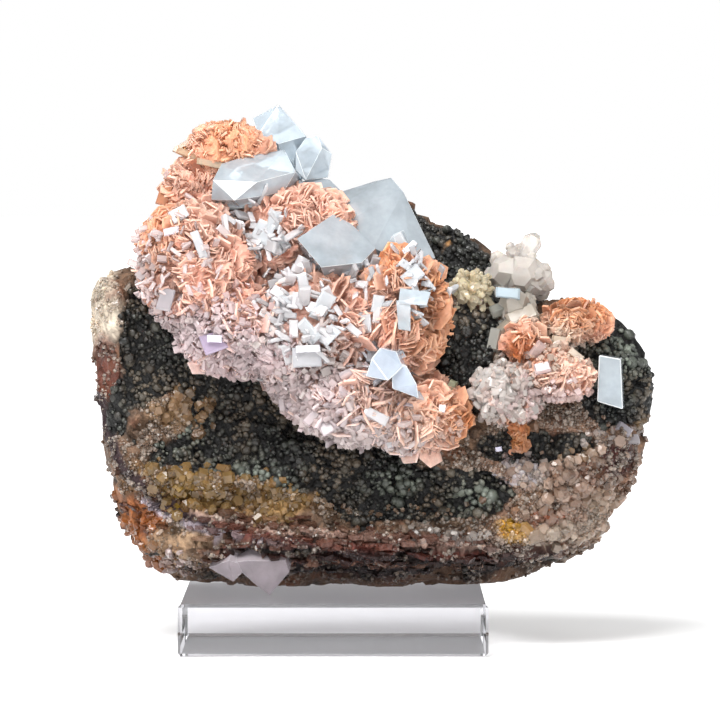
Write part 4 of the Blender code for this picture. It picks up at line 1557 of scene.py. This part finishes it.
@dataclass
class Stage:
    """Floor, light and camera, in metres and degrees."""

    camera_at: Place = (0.0066, -1.233, 0.1235)
    camera_down: float = 2.435
    lens: float = 244.8
    sky: float = 0.42
    key_power: float = 10.0
    glow_start: float = 0.20
    glow_end: float = 0.45
    floor_reach: float = 8.0
    block_glow_reach: float = 0.056
    floor_drop: float = 0.0003
    aim: Place = (0.01, 0.0, 0.07)
    sky_heights: Span = (0.10, 0.35)
    lamps: tuple[tuple[str, Place, float, float], ...] = (
        ("top_light", (-0.22, -0.42, 0.75), 0.5, 1.0), ("front_light", (0.35, -1.1, 0.6), 0.8, 0.4),
    )

    def floor(self) -> None:
        """A pale round floor just under the block; beyond the shadows it glows white. Nearer in, a
        weak glow all over is painted light that lifts its shadows, and more glow under the block
        is painted light that shows through the block.

        Its rings, in metres, are closest together under the block.
        """
        rings = np.concatenate([np.linspace(0.01, 0.06, 11), np.linspace(0.08, 0.6, 32),
                                [1.5, 4.0, self.floor_reach]])
        turn = np.linspace(0.0, 2.0 * math.pi, 48, endpoint=False)
        reach, angle = np.meshgrid(rings, turn, indexing="ij")
        verts = np.stack([reach * np.cos(angle), reach * np.sin(angle),
                          np.full_like(reach, -self.floor_drop)], -1).reshape(-1, 3) / MM
        # Painted light: a glow of 0.3 all over lifts the floor's shadows, and farther out it rises
        # to white
        glow = 0.3 + 0.7 * step_up(reach.reshape(-1), self.glow_start, self.glow_end)
        # Painted light: more glow under the block, seen through the block, lightens it
        glow += 0.3 * step_up(-reach.reshape(-1), -self.block_glow_reach, -0.7 * self.block_glow_reach)
        tint = np.column_stack([glow, glow, glow, np.ones(len(glow))])
        faces = [grid_faces(len(rings), len(turn)), np.arange(len(turn))[None, :]]
        made = build_mesh("floor", verts, faces, tint, smooth=True)
        paint = bpy.data.materials.new("glowing_floor")
        paint.use_nodes = True
        tree = paint.node_tree
        glowing = add_node(tree, "Attribute", attribute_name="tint")
        fill(tree, tree.nodes["Principled BSDF"], {
            "Base Color": (0.9, 0.9, 0.9, 1.0), "Roughness": 0.9, "Specular IOR Level": 0.1,
            "Emission Strength": 1.0, "Emission Color": glowing.outputs["Color"]})
        made.data.materials.append(paint)

    def area_light(self, name: str, place: Place, size: float, power: float) -> None:
        """A soft square light that faces the specimen."""
        data = bpy.data.lights.new(name, "AREA")
        data.size = size
        data.energy = power
        lamp = bpy.data.objects.new(name, data)
        lamp.location = place
        aim = np.array(self.aim) - np.array(place)
        lamp.rotation_mode = "QUATERNION"
        lamp.rotation_quaternion = Vector(aim).to_track_quat("-Z", "Y")
        bpy.context.scene.collection.objects.link(lamp)

    def light(self) -> None:
        """White surroundings, a large soft light above and a weaker one in front."""
        world = bpy.data.worlds.new("studio")
        world.use_nodes = True
        tree = world.node_tree
        way = add_node(tree, "TexCoord").outputs["Generated"]
        split = add_node(tree, "SeparateXYZ", {0: way})
        low, high = self.sky_heights
        height = add_node(tree, "MapRange", {"Value": split.outputs["Z"], "From Min": low,
                                             "From Max": high, "To Min": 1.0, "To Max": self.sky})
        fill(tree, tree.nodes["Background"], {"Color": (1.0, 1.0, 1.0, 1.0),
                                              "Strength": height.outputs["Result"]})
        bpy.context.scene.world = world
        for name, place, size, share in self.lamps:
            self.area_light(name, place, size, self.key_power * share)
        bpy.context.scene.view_settings.view_transform = "Standard"

    def camera(self) -> None:
        """A long lens in front, a little above the specimen."""
        data = bpy.data.cameras.new("camera")
        data.lens = self.lens
        data.sensor_width = 36.0
        data.clip_start = 0.05
        data.clip_end = 50.0
        made = bpy.data.objects.new("camera", data)
        made.location = self.camera_at
        made.rotation_euler = (math.radians(90.0 - self.camera_down), 0.0, 0.0)
        bpy.context.scene.collection.objects.link(made)
        bpy.context.scene.camera = made


def main() -> None:
    """Build every piece, dress it and report it."""
    logging.basicConfig(level=logging.INFO, format="%(name)s %(message)s")
    stage = Stage()
    stage.floor()
    stage.light()
    stage.camera()
    grain = grain_group()
    finish = {kind.name: kind.build(grain) for kind in FINISHES}

    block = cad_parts["display_block"]
    block.data.materials.clear()
    block.data.materials.append(finish["clear_acrylic"])

    rock = MatrixRock()
    settle(rock.make(), finish["banded_rock"], "matrix_rock", "matrix_rock")
    for crust in (BlackCrust("crust_knobs", 700, (1.0, 1.7), (-0.9, 0.4), 11),
                  BlackCrust("crust_beads", 4700, (0.4, 0.95), (-0.25, 0.9), 14)):
        settle(crust.make(rock), finish["black_crust"], "matrix_rock")
    settle(SugaryDruse().make(rock), finish["sugary_quartz"], "matrix_rock")

    mounds = (BladedMound("peach_blades", MAIN_LOBES, MOUND_TONES, 21, thinned=CLEARED),
              BladedMound("right_blades", RIGHT_LOBES, RIGHT_TONES, 22, (3.0, 3.4, 1.9),
                          length=(2.0, 1.3, 0.9), thinned=RIGHT_CLEARED))
    for mound, node in zip(mounds, ("peach_mound", "right_mound")):
        settle(mound.core(), finish["peach_blades"], "peach_blades", node)
        settle(mound.blades(), finish["peach_blades"], "peach_blades", node)
    grounds = {"rock": (rock.points, rock.normals, rock.area, rock.bare_colour(rock.points))}
    for name, lobes, tones, seed in (("main", MAIN_LOBES, MOUND_TONES, 31),
                                     ("right", RIGHT_LOBES, RIGHT_TONES, 32)):
        place, outward = lobe_surface(lobes, 0.65, np.random.default_rng(seed))
        grounds[name] = (place, outward, np.ones(len(place)), toned(place, tones))
    scatters = (
        ("main", ZoneScatter("mound_tabs", tablet_shape(), TAB_ZONES, 33, (0.7, 1.1),
                             (0.14, 0.3), rise=1.3, shaded=False), "clear_tabs", "clear_barite"),
        ("main", ZoneScatter("fringe_crystals", tablet_shape(), FRINGE_ZONES, 34, (1.2, 2.0),
                             (0.3, 0.6), rise=0.9, mixed=0.35), "clear_tabs", "clear_barite"),
        ("right", ZoneScatter("right_fringe", tablet_shape(), RIGHT_FRINGE_ZONES, 35, (1.2, 2.0),
                              (0.35, 0.7), rise=0.7, mixed=0.5), "clear_tabs", "clear_barite"),
        ("rock", ZoneScatter("quartz_chunks", stubby_shape(), ROCK_CHUNK_ZONES, 36, (0.7, 1.1),
                             (0.6, 1.1), 0.1, 0.0, 0.95, False),
         "sugary_quartz", "matrix_rock"),
        ("rock", ZoneScatter("bed_flakes", blade_shape(), FLAKE_ZONES, 37, (0.7, 1.3),
                             (0.15, 0.35), 0.05, 0.0, 0.5, False,
                             Stand.BEDDED), "banded_rock", "matrix_rock"),
    )
    for ground, scatter, look, slot in scatters:
        settle(scatter.make(*grounds[ground]), finish[look], slot)
    for singles in (SingleTabs("single_tabs", SINGLE_TABS, MAIN_LOBES),
                    SingleTabs("right_blocks", RIGHT_BLOCKS, RIGHT_LOBES)):
        settle(singles.make(), finish["clear_tabs"], "clear_barite")

    for cluster in QUARTZ_CLUSTERS:
        settle(cluster.make(), finish["cream_quartz"], "cream_quartz", cluster.node)
    looks = {"barite_crystals": "clear_barite", "upper_tabs": "clear_barite",
             "right_tab": "clear_barite", "blue_tab": "blue_barite",
             "hanging_crystals": "rose_barite"}
    for node, look in looks.items():
        settle(CutCrystals(node).make(), finish[look], "clear_barite", node,
               edges=finish["barite_edge_highlight"])


if __name__ == "__main__":
    main()
